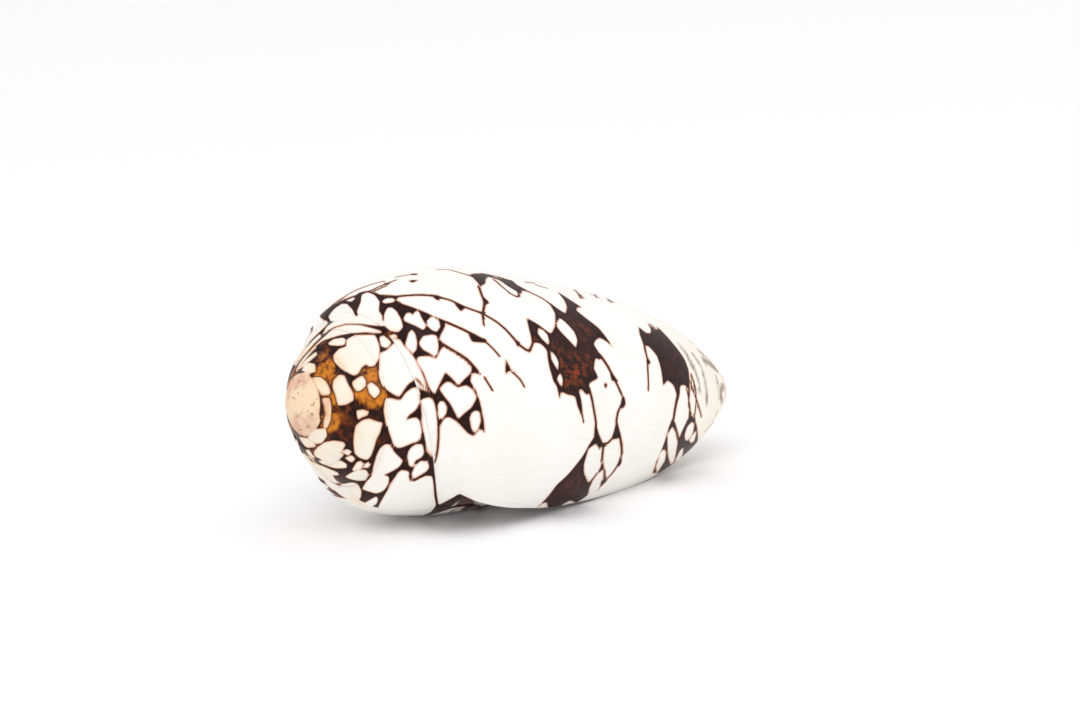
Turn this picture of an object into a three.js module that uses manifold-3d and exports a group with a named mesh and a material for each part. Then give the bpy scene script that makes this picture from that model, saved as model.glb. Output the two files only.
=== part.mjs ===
// A cone shell with smooth rounded shoulders and a low domed spire, lying on its aperture.
// Lengths are in millimetres and growth angles in turns. The lip is at turn 0, earlier growth is negative.
// Depth is measured down the shell's axis from the top of the spire, clock is the angle round the axis,
// clockwise as seen from the spire, which is the way the whorls grow.
import * as THREE from 'three';
import { mergeVertices } from 'three/addons/utils/BufferGeometryUtils.js';
import Module from 'manifold-3d';

// Whole shell
const SHELL_LENGTH = 83;
const LIP_RADIUS = 21;            // widest radius of the last whorl, at the lip
const RADIUS_LOST_IN_A_TURN = 3.65;
const RADIUS_LOSS_POWER = 1.75;
const WIDEST_DEPTH = 34.9;          // depth of the widest line at the lip, with its slope and curve per turn
const WIDEST_DEPTH_SLOPE = 23.95;
const WIDEST_DEPTH_CURVE = 14;
const TIP_ADVANCE = 4;              // the front end moves this far along in the last turn
const TAPER = 0.433;                // share of the radius lost evenly from the widest line to the front end
const END_TAPER = 0.422;            // and the share lost late, which rounds the front end
const END_TAPER_POWER = 4.6;
const TAPER_EASE = 0.12;            // share of the wall over which the taper sets in

// Suture, the spiral line where each whorl meets the one before it
const SUTURE_TURN = -1.167;
const SUTURE_RADIUS = 12.05;         // at that turn
const SUTURE_DEPTH = 8.05;
const SUTURE_RADIUS_GROWTH = 1.379; // per turn
const SUTURE_DEPTH_GROWTH = 1.8;
const SUTURE_STALL = 0.347;         // turns of growth left after that turn
const DROP_TURN = -0.5;             // from here to the lip the suture drops down the whorl before
const DROP_SPAN = 0.54;
const DROP_RADIUS = 4.15;
const DROP_DEPTH = 13.9;
const APEX_TURN = -4.1;             // the worn cap of the spire covers all earlier growth
const CAP_CROWN = 1;                // how far the cap's top stands above the line of the sutures
const CAP_EASE = 0.7;               // turns of growth over which the shoulder rises out of the cap

// Shoulder between the suture and the widest line
const SHOULDER_START = 0;           // slope at the suture, degrees
const SHOULDER_END = 56;            // slope where the next whorl covers it
const SHOULDER_START_PULL = 0.293;
const SHOULDER_END_PULL = 0.356;

// Lip: degrees by which its edge lies ahead of an even line down the shell
const SUTURE_AHEAD = 15;
const SINUS_AHEAD = -4.3;
const SINUS_PLACE = 0.16;          // share of the shoulder
const FRONT_AHEAD = 21.7;
const SINUS_FROM_TURN = -0.35;

// Hollow behind the lip
const WALL = 1.9;
const LIP_WALL = 0.9;
const WALL_THIN_TURNS = 0.16;
const HOLLOW_START_TURN = -0.7;
const HOLLOW_END_TURN = 0.045;
const HOLLOW_TOP = 0.3;             // share of the shoulder where the hollow starts
const INNER_LIP = 0.45;             // the hollow stays this far off the whorl before
const CANAL_DEPTH = 1.3;            // how far the front canal cuts into the column
const CANAL_START = 0.78;           // share of the wall
const CANAL_REACH = 2.5;            // the canal runs out past the front end

// Resting pose, degrees: the shell lies on the lip, the early last whorl and the front end
const DOWN_CLOCK = 45.01;            // the side that faces the ground, as a clock angle from the lip
const SPIRE_LIFT = 8.10;             // the spire's end is higher by this slope

// Facets
const STEPS_PER_TURN = 72;
const SHOULDER_ROWS = 6;
const SHOULDER_ROW_BUNCHING = 1.5;
const WALL_ROWS = 14;
const CAP_RINGS = 4;
const HOLLOW_STEP = 2;              // growth steps per ring of the hollow

const TURN = 360;
const lipStep = 0;
const firstStep = Math.round(APEX_TURN * STEPS_PER_TURN);
const sutureShift = Math.round((SUTURE_AHEAD / TURN) * STEPS_PER_TURN);

const radians = (degrees) => THREE.MathUtils.degToRad(degrees);
const mix = THREE.MathUtils.lerp;
const smooth = THREE.MathUtils.smoothstep;

// Share of the last drop of the suture that is done at a turn
function drop(turn, power) {
  return (Math.max(turn - DROP_TURN, 0) / DROP_SPAN) ** power;
}

function suture(turn) {
  const since = turn - SUTURE_TURN;
  const late = SUTURE_STALL * Math.tanh(Math.max(since, 0) / SUTURE_STALL);
  const growth = Math.min(since, 0) + late;
  return {
    radius: SUTURE_RADIUS * SUTURE_RADIUS_GROWTH ** growth + DROP_RADIUS * drop(turn, 2),
    depth: CAP_CROWN + SUTURE_DEPTH * SUTURE_DEPTH_GROWTH ** growth + DROP_DEPTH * drop(turn, 3),
  };
}

function widest(turn) {
  return {
    radius: LIP_RADIUS - RADIUS_LOST_IN_A_TURN * Math.max(-turn, 0) ** RADIUS_LOSS_POWER,
    depth: WIDEST_DEPTH + WIDEST_DEPTH_SLOPE * turn + WIDEST_DEPTH_CURVE * turn * turn,
  };
}

// The next whorl covers the shoulder's end until it stops at the lip
const lastCoveredTurn = -1 + SUTURE_AHEAD / TURN;

function bezier(a, b, c, d, share) {
  const rest = 1 - share;
  return rest ** 3 * a + 3 * rest * rest * share * b + 3 * rest * share * share * c + share ** 3 * d;
}

// Point on the shoulder, from the suture at share 0 to the widest line, or the next suture, at share 1
function shoulder(turn, share) {
  const start = suture(turn);
  const covered = turn <= lastCoveredTurn + 1e-9;
  const end = covered ? suture(turn + 1) : widest(turn);
  const endSlope = covered ? mix(SHOULDER_END, 90, Math.min(drop(turn + 1, 2), 1)) : 90;
  const chord = Math.hypot(end.radius - start.radius, end.depth - start.depth);
  const out = SHOULDER_START_PULL * chord;
  const back = SHOULDER_END_PULL * chord;
  const startSlope = radians(SHOULDER_START);
  const radius = bezier(start.radius, start.radius + out * Math.cos(startSlope),
    end.radius - back * Math.cos(radians(endSlope)), end.radius, share);
  const depth = bezier(start.depth, start.depth + out * Math.sin(startSlope),
    end.depth - back * Math.sin(radians(endSlope)), end.depth, share);
  const risen = smooth(turn, APEX_TURN, APEX_TURN + CAP_EASE);
  return {
    radius: mix(mix(start.radius, end.radius, share), radius, risen),
    depth: mix(mix(start.depth, end.depth, share), depth, risen),
  };
}

function taper(share) {
  const eased = (Math.hypot(share, TAPER_EASE) - TAPER_EASE) / (Math.hypot(1, TAPER_EASE) - TAPER_EASE);
  return 1 - TAPER * eased - END_TAPER * share ** END_TAPER_POWER;
}

// Point on the wall, from the widest line at share 0 to the front end at share 1
function wall(turn, share) {
  const start = widest(turn);
  const end = SHELL_LENGTH + TIP_ADVANCE * turn;
  return { radius: start.radius * taper(share), depth: mix(start.depth, end, share) };
}

function shoulderAhead(turn, share) {
  const even = SUTURE_AHEAD * (1 - share);
  const sinus = share < SINUS_PLACE
    ? mix(SUTURE_AHEAD, SINUS_AHEAD, smooth(share, 0, SINUS_PLACE))
    : mix(SINUS_AHEAD, 0, smooth(share, SINUS_PLACE, 1));
  return mix(even, sinus, smooth(turn, SINUS_FROM_TURN, 0));
}

function placed(radius, clock, depth) {
  return new THREE.Vector3(radius * Math.sin(radians(clock)), radius * Math.cos(radians(clock)), -depth);
}

const shoulderShare = (row) => (row / SHOULDER_ROWS) ** SHOULDER_ROW_BUNCHING;

// Grid point: rows 0 to SHOULDER_ROWS are the shoulder, the rest the wall
function skinPoint(step, row) {
  const turn = step / STEPS_PER_TURN;
  if (row <= SHOULDER_ROWS) {
    const share = shoulderShare(row);
    const p = shoulder(turn, share);
    return placed(p.radius, turn * TURN + shoulderAhead(turn, share), p.depth);
  }
  const share = (row - SHOULDER_ROWS) / WALL_ROWS;
  const p = wall(turn, share);
  return placed(p.radius, turn * TURN + FRONT_AHEAD * share, p.depth);
}

// Collects triangles, and names each grid point once where whorls are joined at the suture
class Skin {
  constructor() {
    this.points = [];
    this.faces = [];
    this.known = new Map();
  }

  add(point) {
    this.points.push(point);
    return this.points.length - 1;
  }

  grid(step, row) {
    let at = step;
    let line = row;
    if (row === 0 && step - STEPS_PER_TURN + sutureShift >= firstStep) {
      at = step - STEPS_PER_TURN + sutureShift;
      line = SHOULDER_ROWS;
    }
    const key = `${at} ${line}`;
    if (!this.known.has(key)) {
      this.known.set(key, this.add(skinPoint(at, line)));
    }
    return this.known.get(key);
  }

  triangle(a, b, c) {
    if (a !== b && b !== c && c !== a) {
      this.faces.push([a, c, b]);
    }
  }

  quad(a, b, c, d) {
    this.triangle(a, b, c);
    this.triangle(a, c, d);
  }

  // Joins two lines of points that start together, a share of the way along each at a time
  stitch(first, second) {
    let i = 0;
    let j = 0;
    while (i < first.length - 1 || j < second.length - 1) {
      const nextFirst = (i + 1) / (first.length - 1);
      const nextSecond = (j + 1) / (second.length - 1);
      if (j === second.length - 1 || (i < first.length - 1 && nextFirst <= nextSecond)) {
        this.triangle(first[i], first[i + 1], second[j]);
        i += 1;
      } else {
        this.triangle(first[i], second[j + 1], second[j]);
        j += 1;
      }
    }
  }

  geometry() {
    const flat = [];
    for (const face of this.faces) {
      for (const corner of face) {
        flat.push(...this.points[corner].toArray());
      }
    }
    const geometry = new THREE.BufferGeometry();
    geometry.setAttribute('position', new THREE.Float32BufferAttribute(flat, 3));
    return mergeVertices(geometry, 1e-5);
  }
}

function range(from, to) {
  const step = Math.sign(to - from) || 1;
  return Array.from({ length: Math.abs(to - from) + 1 }, (_, i) => from + i * step);
}

// Closed outer body: whorls, cap of the spire, front end and the face behind the lip
function outerBody() {
  const skin = new Skin();
  const oneTurnBack = lipStep - STEPS_PER_TURN;
  const lastRow = SHOULDER_ROWS + WALL_ROWS;
  for (const step of range(firstStep, lipStep - 1)) {
    for (const row of range(0, SHOULDER_ROWS - 1)) {
      skin.quad(skin.grid(step, row), skin.grid(step, row + 1), skin.grid(step + 1, row + 1), skin.grid(step + 1, row));
    }
  }
  // The wall starts one turn back, along a slant that leaves room for the lip's end at the suture
  for (const step of range(oneTurnBack, lipStep - 1)) {
    const here = SHOULDER_ROWS + Math.max(sutureShift - (step - oneTurnBack), 0);
    const next = SHOULDER_ROWS + Math.max(sutureShift - (step + 1 - oneTurnBack), 0);
    if (next < here) {
      skin.triangle(skin.grid(step, here), skin.grid(step + 1, here), skin.grid(step + 1, next));
    }
    for (const row of range(here, lastRow - 1)) {
      skin.quad(skin.grid(step, row), skin.grid(step, row + 1), skin.grid(step + 1, row + 1), skin.grid(step + 1, row));
    }
  }
  // Face between the lip's edge and the whorl before it
  const lipEdge = range(0, SHOULDER_ROWS + sutureShift).map((row) => skin.grid(lipStep, row));
  const slant = range(0, sutureShift)
    .map((i) => skin.grid(oneTurnBack + sutureShift - i, SHOULDER_ROWS + i));
  skin.stitch(lipEdge, slant);
  for (const row of range(SHOULDER_ROWS + sutureShift, lastRow - 1)) {
    skin.quad(skin.grid(oneTurnBack, row), skin.grid(lipStep, row), skin.grid(lipStep, row + 1), skin.grid(oneTurnBack, row + 1));
  }
  // Front end
  const frontCentre = skin.add(new THREE.Vector3(0, 0, -(SHELL_LENGTH - TIP_ADVANCE / 2)));
  for (const step of range(oneTurnBack, lipStep - 1)) {
    skin.triangle(skin.grid(step, lastRow), frontCentre, skin.grid(step + 1, lastRow));
  }
  skin.triangle(skin.grid(lipStep, lastRow), frontCentre, skin.grid(oneTurnBack, lastRow));
  // Cap of the spire, on the inner edge of the first whorl
  const rim = range(firstStep, firstStep + STEPS_PER_TURN - sutureShift).map((step) => skin.grid(step, 0));
  for (const row of range(SHOULDER_ROWS - 1, 1)) {
    rim.push(skin.grid(firstStep, row));
  }
  let outer = rim;
  for (const ring of range(CAP_RINGS - 1, 1)) {
    const share = ring / CAP_RINGS;
    const inner = rim.map((index) => {
      const p = skin.points[index];
      return skin.add(new THREE.Vector3(p.x * share, p.y * share, p.z * share * share));
    });
    for (const i of range(0, rim.length - 1)) {
      const j = (i + 1) % rim.length;
      skin.quad(inner[i], outer[i], outer[j], inner[j]);
    }
    outer = inner;
  }
  const top = skin.add(new THREE.Vector3(0, 0, 0));
  for (const i of range(0, rim.length - 1)) {
    skin.triangle(top, outer[i], outer[(i + 1) % rim.length]);
  }
  return skin.geometry();
}

// Outline of the hollow at a turn, a closed loop: down inside the wall and back up along the column
function hollowOutline(turn) {
  const grown = Math.min(turn, 0);
  const thickness = mix(WALL, LIP_WALL, smooth(grown, -WALL_THIN_TURNS, 0));
  const deepShare = smooth(turn, HOLLOW_START_TURN, HOLLOW_START_TURN + 0.08);
  const outside = [];
  const inside = [];
  const clockAt = (ahead) => turn * TURN + ahead;
  for (const share of [HOLLOW_TOP, 0.5, 0.75]) {
    const p = shoulder(grown, share);
    const q = shoulder(grown, share + 0.02);
    const away = new THREE.Vector2(q.depth - p.depth, p.radius - q.radius).normalize();
    outside.push([p.radius - away.x * thickness, clockAt(shoulderAhead(grown, share)), p.depth - away.y * thickness]);
  }
  const wallShares = range(0, 8).map((i) => i / 8);
  for (const share of wallShares) {
    const p = wall(grown, share);
    const radius = Math.max(p.radius - thickness * mix(1, 0.7, share), 0.4);
    outside.push([radius, clockAt(FRONT_AHEAD * share), p.depth + CANAL_REACH * smooth(share, 0.9, 1)]);
  }
  const before = suture(grown);
  const end = SHELL_LENGTH + TIP_ADVANCE * (grown - 1);
  for (const share of [...wallShares].reverse()) {
    const radius = before.radius * taper(share) + INNER_LIP - CANAL_DEPTH * smooth(share, CANAL_START, 1);
    const depth = mix(before.depth + 3, end, share) + (CANAL_REACH + TIP_ADVANCE) * smooth(share, 0.9, 1);
    inside.push([Math.max(radius, 0.25), clockAt(FRONT_AHEAD * share), depth]);
  }
  const loop = [...outside, ...inside];
  const middle = loop.reduce((sum, p) => [sum[0] + p[0] / loop.length, 0, sum[2] + p[2] / loop.length], [0, 0, 0]);
  return loop.map(([radius, clock, depth]) => placed(
    mix(middle[0], radius, mix(0.3, 1, deepShare)),
    clock,
    mix(middle[2], depth, mix(0.3, 1, deepShare)),
  ));
}

// The hollow as a closed solid, swept from deep inside to just past the lip
function hollow() {
  const skin = new Skin();
  const turns = [];
  const count = Math.round(((HOLLOW_END_TURN - HOLLOW_START_TURN) * STEPS_PER_TURN) / HOLLOW_STEP);
  for (const i of range(0, count)) {
    turns.push(mix(HOLLOW_START_TURN, HOLLOW_END_TURN, i / count));
  }
  const rings = turns.map((turn) => hollowOutline(turn).map((p) => skin.add(p)));
  for (const k of range(0, rings.length - 2)) {
    const here = rings[k];
    const next = rings[k + 1];
    for (const i of range(0, here.length - 1)) {
      const j = (i + 1) % here.length;
      skin.quad(here[i], here[j], next[j], next[i]);
    }
  }
  // Each end is closed by strips across the outline, which is long and bent
  const close = (ring, turned) => {
    const half = Math.floor(ring.length / 2);
    const across = (i) => ring[ring.length - 1 - i];
    for (const i of range(0, half - 1)) {
      const corners = [ring[i], across(i), across(i + 1), ring[i + 1]];
      skin.quad(...(turned ? corners.reverse() : corners));
    }
  };
  close(rings[0], false);
  close(rings[rings.length - 1], true);
  return skin.geometry();
}

const wasm = await Module();
wasm.setup();

function solid(geometry) {
  return new wasm.Manifold(new wasm.Mesh({
    numProp: 3,
    vertProperties: geometry.attributes.position.array,
    triVerts: geometry.index.array,
  }));
}

const body = solid(outerBody()).subtract(solid(hollow()));
const cut = body.getMesh();
const geometry = new THREE.BufferGeometry();
geometry.setAttribute('position', new THREE.BufferAttribute(new Float32Array(cut.vertProperties), 3));
geometry.setIndex(new THREE.BufferAttribute(new Uint32Array(cut.triVerts), 1));
geometry.computeVertexNormals();

const porcelain = new THREE.MeshStandardMaterial({ color: 0xf6f1ea, roughness: 0.28, metalness: 0 });
const shell = new THREE.Mesh(geometry, porcelain);
shell.name = 'shell';
shell.rotation.z = radians(90 + DOWN_CLOCK);

// Laid down with the spire towards -X, over the origin and on the ground
const laid = new THREE.Group();
laid.rotation.y = radians(SPIRE_LIFT - 90);
laid.add(shell);
const box = new THREE.Box3().setFromObject(laid, true);
const middle = box.getCenter(new THREE.Vector3());
laid.position.set(-middle.x, -middle.y, -box.min.z);

const model = new THREE.Group();
model.add(laid);

export default model;
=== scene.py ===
# A cone shell lying on its aperture: white porcelain with brown tented markings and an amber spire.
import math
import random
import bpy
import numpy as np
from mathutils import Matrix, Vector
from mathutils.bvhtree import BVHTree


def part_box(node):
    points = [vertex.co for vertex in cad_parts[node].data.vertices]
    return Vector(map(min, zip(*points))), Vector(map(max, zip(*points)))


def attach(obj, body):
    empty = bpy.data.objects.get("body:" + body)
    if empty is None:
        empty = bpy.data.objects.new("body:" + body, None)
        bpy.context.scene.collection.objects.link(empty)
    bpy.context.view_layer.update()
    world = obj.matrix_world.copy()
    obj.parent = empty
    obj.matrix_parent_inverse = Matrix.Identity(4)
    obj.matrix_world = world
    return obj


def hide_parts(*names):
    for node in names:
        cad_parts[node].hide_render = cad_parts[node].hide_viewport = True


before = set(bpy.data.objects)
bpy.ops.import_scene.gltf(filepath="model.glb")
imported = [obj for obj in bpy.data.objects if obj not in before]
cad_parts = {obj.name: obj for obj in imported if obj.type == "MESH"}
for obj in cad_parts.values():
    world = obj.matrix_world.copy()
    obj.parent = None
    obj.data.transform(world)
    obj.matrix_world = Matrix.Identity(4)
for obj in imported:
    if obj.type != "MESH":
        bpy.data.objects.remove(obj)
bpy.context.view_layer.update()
print("frame loaded")


# One socket of a node tree. Sums on it add Math nodes.
class Wire:
    def __init__(self, bench, socket):
        self.bench = bench
        self.socket = socket

    def __add__(self, other):
        return self.bench.maths("ADD", self, other)

    def __radd__(self, other):
        return self.bench.maths("ADD", other, self)

    def __sub__(self, other):
        return self.bench.maths("SUBTRACT", self, other)

    def __rsub__(self, other):
        return self.bench.maths("SUBTRACT", other, self)

    def __mul__(self, other):
        return self.bench.maths("MULTIPLY", self, other)

    def __rmul__(self, other):
        return self.bench.maths("MULTIPLY", other, self)

    def __truediv__(self, other):
        return self.bench.maths("DIVIDE", self, other)

    def __pow__(self, other):
        return self.bench.maths("POWER", self, other)


nodeSpacing = {"across": 180, "down": -220, "inARow": 24}


# The place where a tree's nodes are added, for geometry and for materials
class NodeBench:
    def __init__(self, tree):
        self.tree = tree
        self.count = 0

    def add(self, kind, settings=None, inputs=None):
        node = self.tree.nodes.new(kind)
        row, place = divmod(self.count, nodeSpacing["inARow"])
        node.location = (nodeSpacing["across"] * place, nodeSpacing["down"] * row)
        self.count += 1
        for name, value in (settings or {}).items():
            setattr(node, name, value)
        for name, value in (inputs or {}).items():
            self.plug(node.inputs[name], value)
        return node

    def plug(self, socket, value):
        if isinstance(value, Wire):
            self.tree.links.new(value.socket, socket)
        elif isinstance(value, bpy.types.NodeSocket):
            self.tree.links.new(value, socket)
        elif isinstance(value, tuple) and len(value) == 3 and socket.type == "RGBA":
            socket.default_value = (*value, 1.0)
        else:
            socket.default_value = value

    def out(self, node, name=0):
        return Wire(self, node.outputs[name])

    def maths(self, operation, *values):
        node = self.add("ShaderNodeMath", {"operation": operation})
        for place, value in enumerate(values):
            self.plug(node.inputs[place], value)
        return self.out(node)

    def blend(self, factor, first, second):
        node = self.add("ShaderNodeMix", {"data_type": "RGBA"})
        self.plug(node.inputs[0], factor)
        self.plug(node.inputs[6], first)
        self.plug(node.inputs[7], second)
        return self.out(node, 2)

    def steps(self, value, low, high):
        node = self.add("ShaderNodeMapRange", {"interpolation_type": "SMOOTHSTEP"},
                        {"Value": value, "From Min": low, "From Max": high})
        return self.out(node)

    def field(self, name, kind="FLOAT"):
        if self.tree.type == "SHADER":
            node = self.add("ShaderNodeAttribute", {"attribute_name": name})
            return self.out(node, "Vector" if kind == "VECTOR" else "Fac")
        node = self.add("GeometryNodeInputNamedAttribute", {"data_type": "FLOAT"}, {"Name": name})
        return self.out(node, "Attribute")


def addObject(name, data):
    made = bpy.data.objects.new(name, data)
    bpy.context.scene.collection.objects.link(made)
    return made


# Millimetres in a metre, and one degree
metre = 1000.0
degree = math.pi / 180.0

# The view of the photograph
cameraView = {
    "azimuth": -36.34,
    "elevation": 13.29,
    "roll": -2.42,
    "distance": 0.9675,
    "lens": 213.0,
    "sensorWidth": 36.0,
    "clipEnd": 20.0,
    "target": (-0.00958, -0.02075, 0.02682),
    "imageWidth": 1080.0,
    "imageHeight": 721.0,
}

# Millimetres at the shell's distance for a pixel of the view
viewScale = (metre * cameraView["distance"] * cameraView["sensorWidth"]
             / cameraView["lens"] / cameraView["imageWidth"])


def cameraAxes(view):
    around = math.radians(view["azimuth"])
    up = math.radians(view["elevation"])
    back = Vector((math.sin(around) * math.cos(up), -math.cos(around) * math.cos(up), math.sin(up)))
    levelRight = Vector((0, 0, 1)).cross(back).normalized()
    levelUp = back.cross(levelRight)
    roll = math.radians(view["roll"])
    right = levelRight * math.cos(roll) + levelUp * math.sin(roll)
    top = levelUp * math.cos(roll) - levelRight * math.sin(roll)
    return Vector(view["target"]) + back * view["distance"], right, top, back


def makeCamera(view):
    eye, right, top, back = cameraAxes(view)
    data = bpy.data.cameras.new("camera")
    data.lens = view["lens"]
    data.sensor_width = view["sensorWidth"]
    data.clip_end = view["clipEnd"]
    camera = addObject("camera", data)
    camera.matrix_world = Matrix.Translation(eye) @ Matrix((right, top, back)).transposed().to_4x4()
    bpy.context.scene.camera = camera


# The shell's rule is written once for numbers and for wires
def either(operation, onNumbers, *values):
    for value in values:
        if isinstance(value, Wire):
            return value.bench.maths(operation, *values)
    return onNumbers(*values)


def sine(value):
    return either("SINE", np.sin, value)


def cosine(value):
    return either("COSINE", np.cos, value)


def levelling(value):
    return either("TANH", np.tanh, value)


def larger(a, b):
    return either("MAXIMUM", np.maximum, a, b)


def smaller(a, b):
    return either("MINIMUM", np.minimum, a, b)


def isBelow(a, b):
    return either("LESS_THAN", lambda x, y: (x < y) * 1.0, a, b)


def between(a, b, share):
    return a + (b - a) * share


def eased(value, low, high):
    share = smaller(larger((value - low) / (high - low), 0.0), 1.0)
    return share * share * (3.0 - 2.0 * share)


# Sizes of the shell: millimetres, turns of growth with the lip at 0, and degrees
shellSizes = {
    "shellLength": 83.0,
    "lipRadius": 21.0,
    "radiusLostInATurn": 3.65,
    "radiusLossPower": 1.75,
    "widestDepth": 34.9,
    "widestDepthSlope": 23.95,
    "widestDepthCurve": 14.0,
    "tipAdvance": 4.0,
    "taper": 0.433,
    "endTaper": 0.422,
    "endTaperPower": 4.6,
    "taperEase": 0.12,
    "sutureTurn": -1.167,
    "sutureRadius": 12.05,
    "sutureDepth": 8.05,
    "sutureRadiusGrowth": 1.379,
    "sutureDepthGrowth": 1.8,
    "sutureStall": 0.347,
    "dropTurn": -0.5,
    "dropSpan": 0.54,
    "dropRadius": 4.15,
    "dropDepth": 13.9,
    "capCrown": 1.0,
    "firstTurn": -4.1,
    "capEase": 0.7,
    "shoulderEnd": 56.0,
    "shoulderStartPull": 0.293,
    "shoulderEndPull": 0.356,
    "sutureAhead": 15.0,
    "sinusAhead": -4.3,
    "sinusPlace": 0.16,
    "frontAhead": 21.7,
    "sinusFromTurn": -0.35,
}


# Turns of leeway where a whorl starts to be covered, and the share just past the shoulder's end
pastCovering = 0.0001
wallStart = 1.00001


def dropDone(size, turn):
    return larger(turn - size["dropTurn"], 0.0) / size["dropSpan"]


def suturePoint(size, turn):
    since = turn - size["sutureTurn"]
    late = size["sutureStall"] * levelling(larger(since, 0.0) / size["sutureStall"])
    growth = smaller(since, 0.0) + late
    dropped = dropDone(size, turn)
    radius = size["sutureRadius"] * size["sutureRadiusGrowth"] ** growth
    depth = size["capCrown"] + size["sutureDepth"] * size["sutureDepthGrowth"] ** growth
    return radius + size["dropRadius"] * dropped ** 2.0, depth + size["dropDepth"] * dropped ** 3.0


def widestPoint(size, turn):
    lost = larger(0.0 - turn, 0.0) ** size["radiusLossPower"]
    radius = size["lipRadius"] - size["radiusLostInATurn"] * lost
    depth = size["widestDepth"] + size["widestDepthSlope"] * turn + size["widestDepthCurve"] * turn * turn
    return radius, depth


def bent(a, b, c, d, share):
    rest = 1.0 - share
    ends = rest * rest * rest * a + share * share * share * d
    return ends + 3.0 * rest * share * (rest * b + share * c)


def shoulderPoint(size, turn, share):
    startRadius, startDepth = suturePoint(size, turn)
    nextRadius, nextDepth = suturePoint(size, turn + 1.0)
    wideRadius, wideDepth = widestPoint(size, turn)
    covered = isBelow(turn, size["sutureAhead"] / 360.0 - 1.0 + pastCovering)
    endRadius = between(wideRadius, nextRadius, covered)
    endDepth = between(wideDepth, nextDepth, covered)
    closing = smaller(dropDone(size, turn + 1.0) ** 2.0, 1.0)
    coveredSlope = between(size["shoulderEnd"], 90.0, closing)
    endSlope = between(90.0, coveredSlope, covered) * degree
    chord = ((endRadius - startRadius) ** 2.0 + (endDepth - startDepth) ** 2.0) ** 0.5
    out = size["shoulderStartPull"] * chord
    back = size["shoulderEndPull"] * chord
    radius = bent(startRadius, startRadius + out, endRadius - back * cosine(endSlope), endRadius, share)
    depth = bent(startDepth, startDepth, endDepth - back * sine(endSlope), endDepth, share)
    risen = eased(turn, size["firstTurn"], size["firstTurn"] + size["capEase"])
    return (between(between(startRadius, endRadius, share), radius, risen),
            between(between(startDepth, endDepth, share), depth, risen))


def taperAt(size, share):
    ease = size["taperEase"]
    even = ((share * share + ease * ease) ** 0.5 - ease) / ((1.0 + ease * ease) ** 0.5 - ease)
    return 1.0 - size["taper"] * even - size["endTaper"] * share ** size["endTaperPower"]


def wallPoint(size, turn, share):
    radius, depth = widestPoint(size, turn)
    frontEnd = size["shellLength"] + size["tipAdvance"] * turn
    return radius * taperAt(size, share), between(depth, frontEnd, share)


def shoulderAhead(size, turn, share):
    steady = size["sutureAhead"] * (1.0 - share)
    place = size["sinusPlace"]
    into = between(size["sutureAhead"], size["sinusAhead"], eased(share, 0.0, place))
    outOf = between(size["sinusAhead"], 0.0, eased(share, place, 1.0))
    sinus = between(outOf, into, isBelow(share, place))
    return between(steady, sinus, eased(turn, size["sinusFromTurn"], 0.0))


# A point of the skin. Share 0 to 1 is the shoulder, 1 to 2 the wall.
def skinPoint(size, turn, share):
    high = smaller(share, 1.0)
    low = larger(share - 1.0, 0.0)
    onWall = isBelow(wallStart, share)
    shoulderRadius, shoulderDepth = shoulderPoint(size, turn, high)
    wallRadius, wallDepth = wallPoint(size, turn, low)
    radius = between(shoulderRadius, wallRadius, onWall)
    depth = between(shoulderDepth, wallDepth, onWall)
    ahead = between(shoulderAhead(size, turn, high), size["frontAhead"] * low, onWall)
    clock = (turn * 360.0 + ahead) * degree
    return radius * sine(clock), radius * cosine(clock), 0.0 - depth


# How finely the skin is divided
skinGrid = {
    "stepsPerTurn": 360,
    "earlyRows": 18,
    "lastRows": 58,
    "wallRows": 120,
    "rowBunching": 1.15,
    "capRings": 13,
    "frontRings": 4,
    "frontDome": 0.25,
}
stepsPerTurn = skinGrid["stepsPerTurn"]
sutureShift = round(shellSizes["sutureAhead"] / 360.0 * stepsPerTurn)
firstStep = round(shellSizes["firstTurn"] * stepsPerTurn)
turnBack = -stepsPerTurn


# Collects the skin's points and faces. A point knows its turn and share, not its place.
class SkinLayout:
    def __init__(self):
        self.known = {}
        self.turns = []
        self.shares = []
        self.capShares = []
        self.frontShares = []
        self.faces = []
        self.faceTurns = []

    def point(self, turn, share, capShare=1.0, frontShare=1.0):
        self.turns.append(turn)
        self.shares.append(share)
        self.capShares.append(capShare)
        self.frontShares.append(frontShare)
        return len(self.turns) - 1

    def grid(self, step, row, rows):
        at = step
        place = row / rows
        if row == 0 and step + turnBack + sutureShift >= firstStep:
            at = step + turnBack + sutureShift
            place = 1.0
        key = (at, round(place, 6))
        if key not in self.known:
            self.known[key] = self.point(at / stepsPerTurn, place ** skinGrid["rowBunching"])
        return self.known[key]

    def onWall(self, step, row):
        if row == 0:
            return self.grid(step, 1, 1)
        key = (step, 1.0 + row)
        if key not in self.known:
            self.known[key] = self.point(step / stepsPerTurn, 1.0 + row / skinGrid["wallRows"])
        return self.known[key]

    def face(self, corners, turn):
        kept = [c for i, c in enumerate(corners) if c != corners[i - 1]]
        if len(kept) > 2:
            self.faces.append(kept[::-1])
            self.faceTurns.append(turn)

    # Joins two lines of points, a share of the way along each at a time
    def stitch(self, first, second, turn):
        i = 0
        j = 0
        while i < len(first) - 1 or j < len(second) - 1:
            nextFirst = (i + 1) / (len(first) - 1)
            nextSecond = (j + 1) / (len(second) - 1)
            if j == len(second) - 1 or (i < len(first) - 1 and nextFirst <= nextSecond):
                self.face([first[i], first[i + 1], second[j]], turn)
                i += 1
            else:
                self.face([first[i], second[j + 1], second[j]], turn)
                j += 1


def layShoulder(skin, steps, rows):
    for step in steps:
        for row in range(rows):
            skin.face([skin.grid(step, row, rows), skin.grid(step, row + 1, rows),
                       skin.grid(step + 1, row + 1, rows), skin.grid(step + 1, row, rows)],
                      (step + 0.5) / stepsPerTurn)


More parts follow.
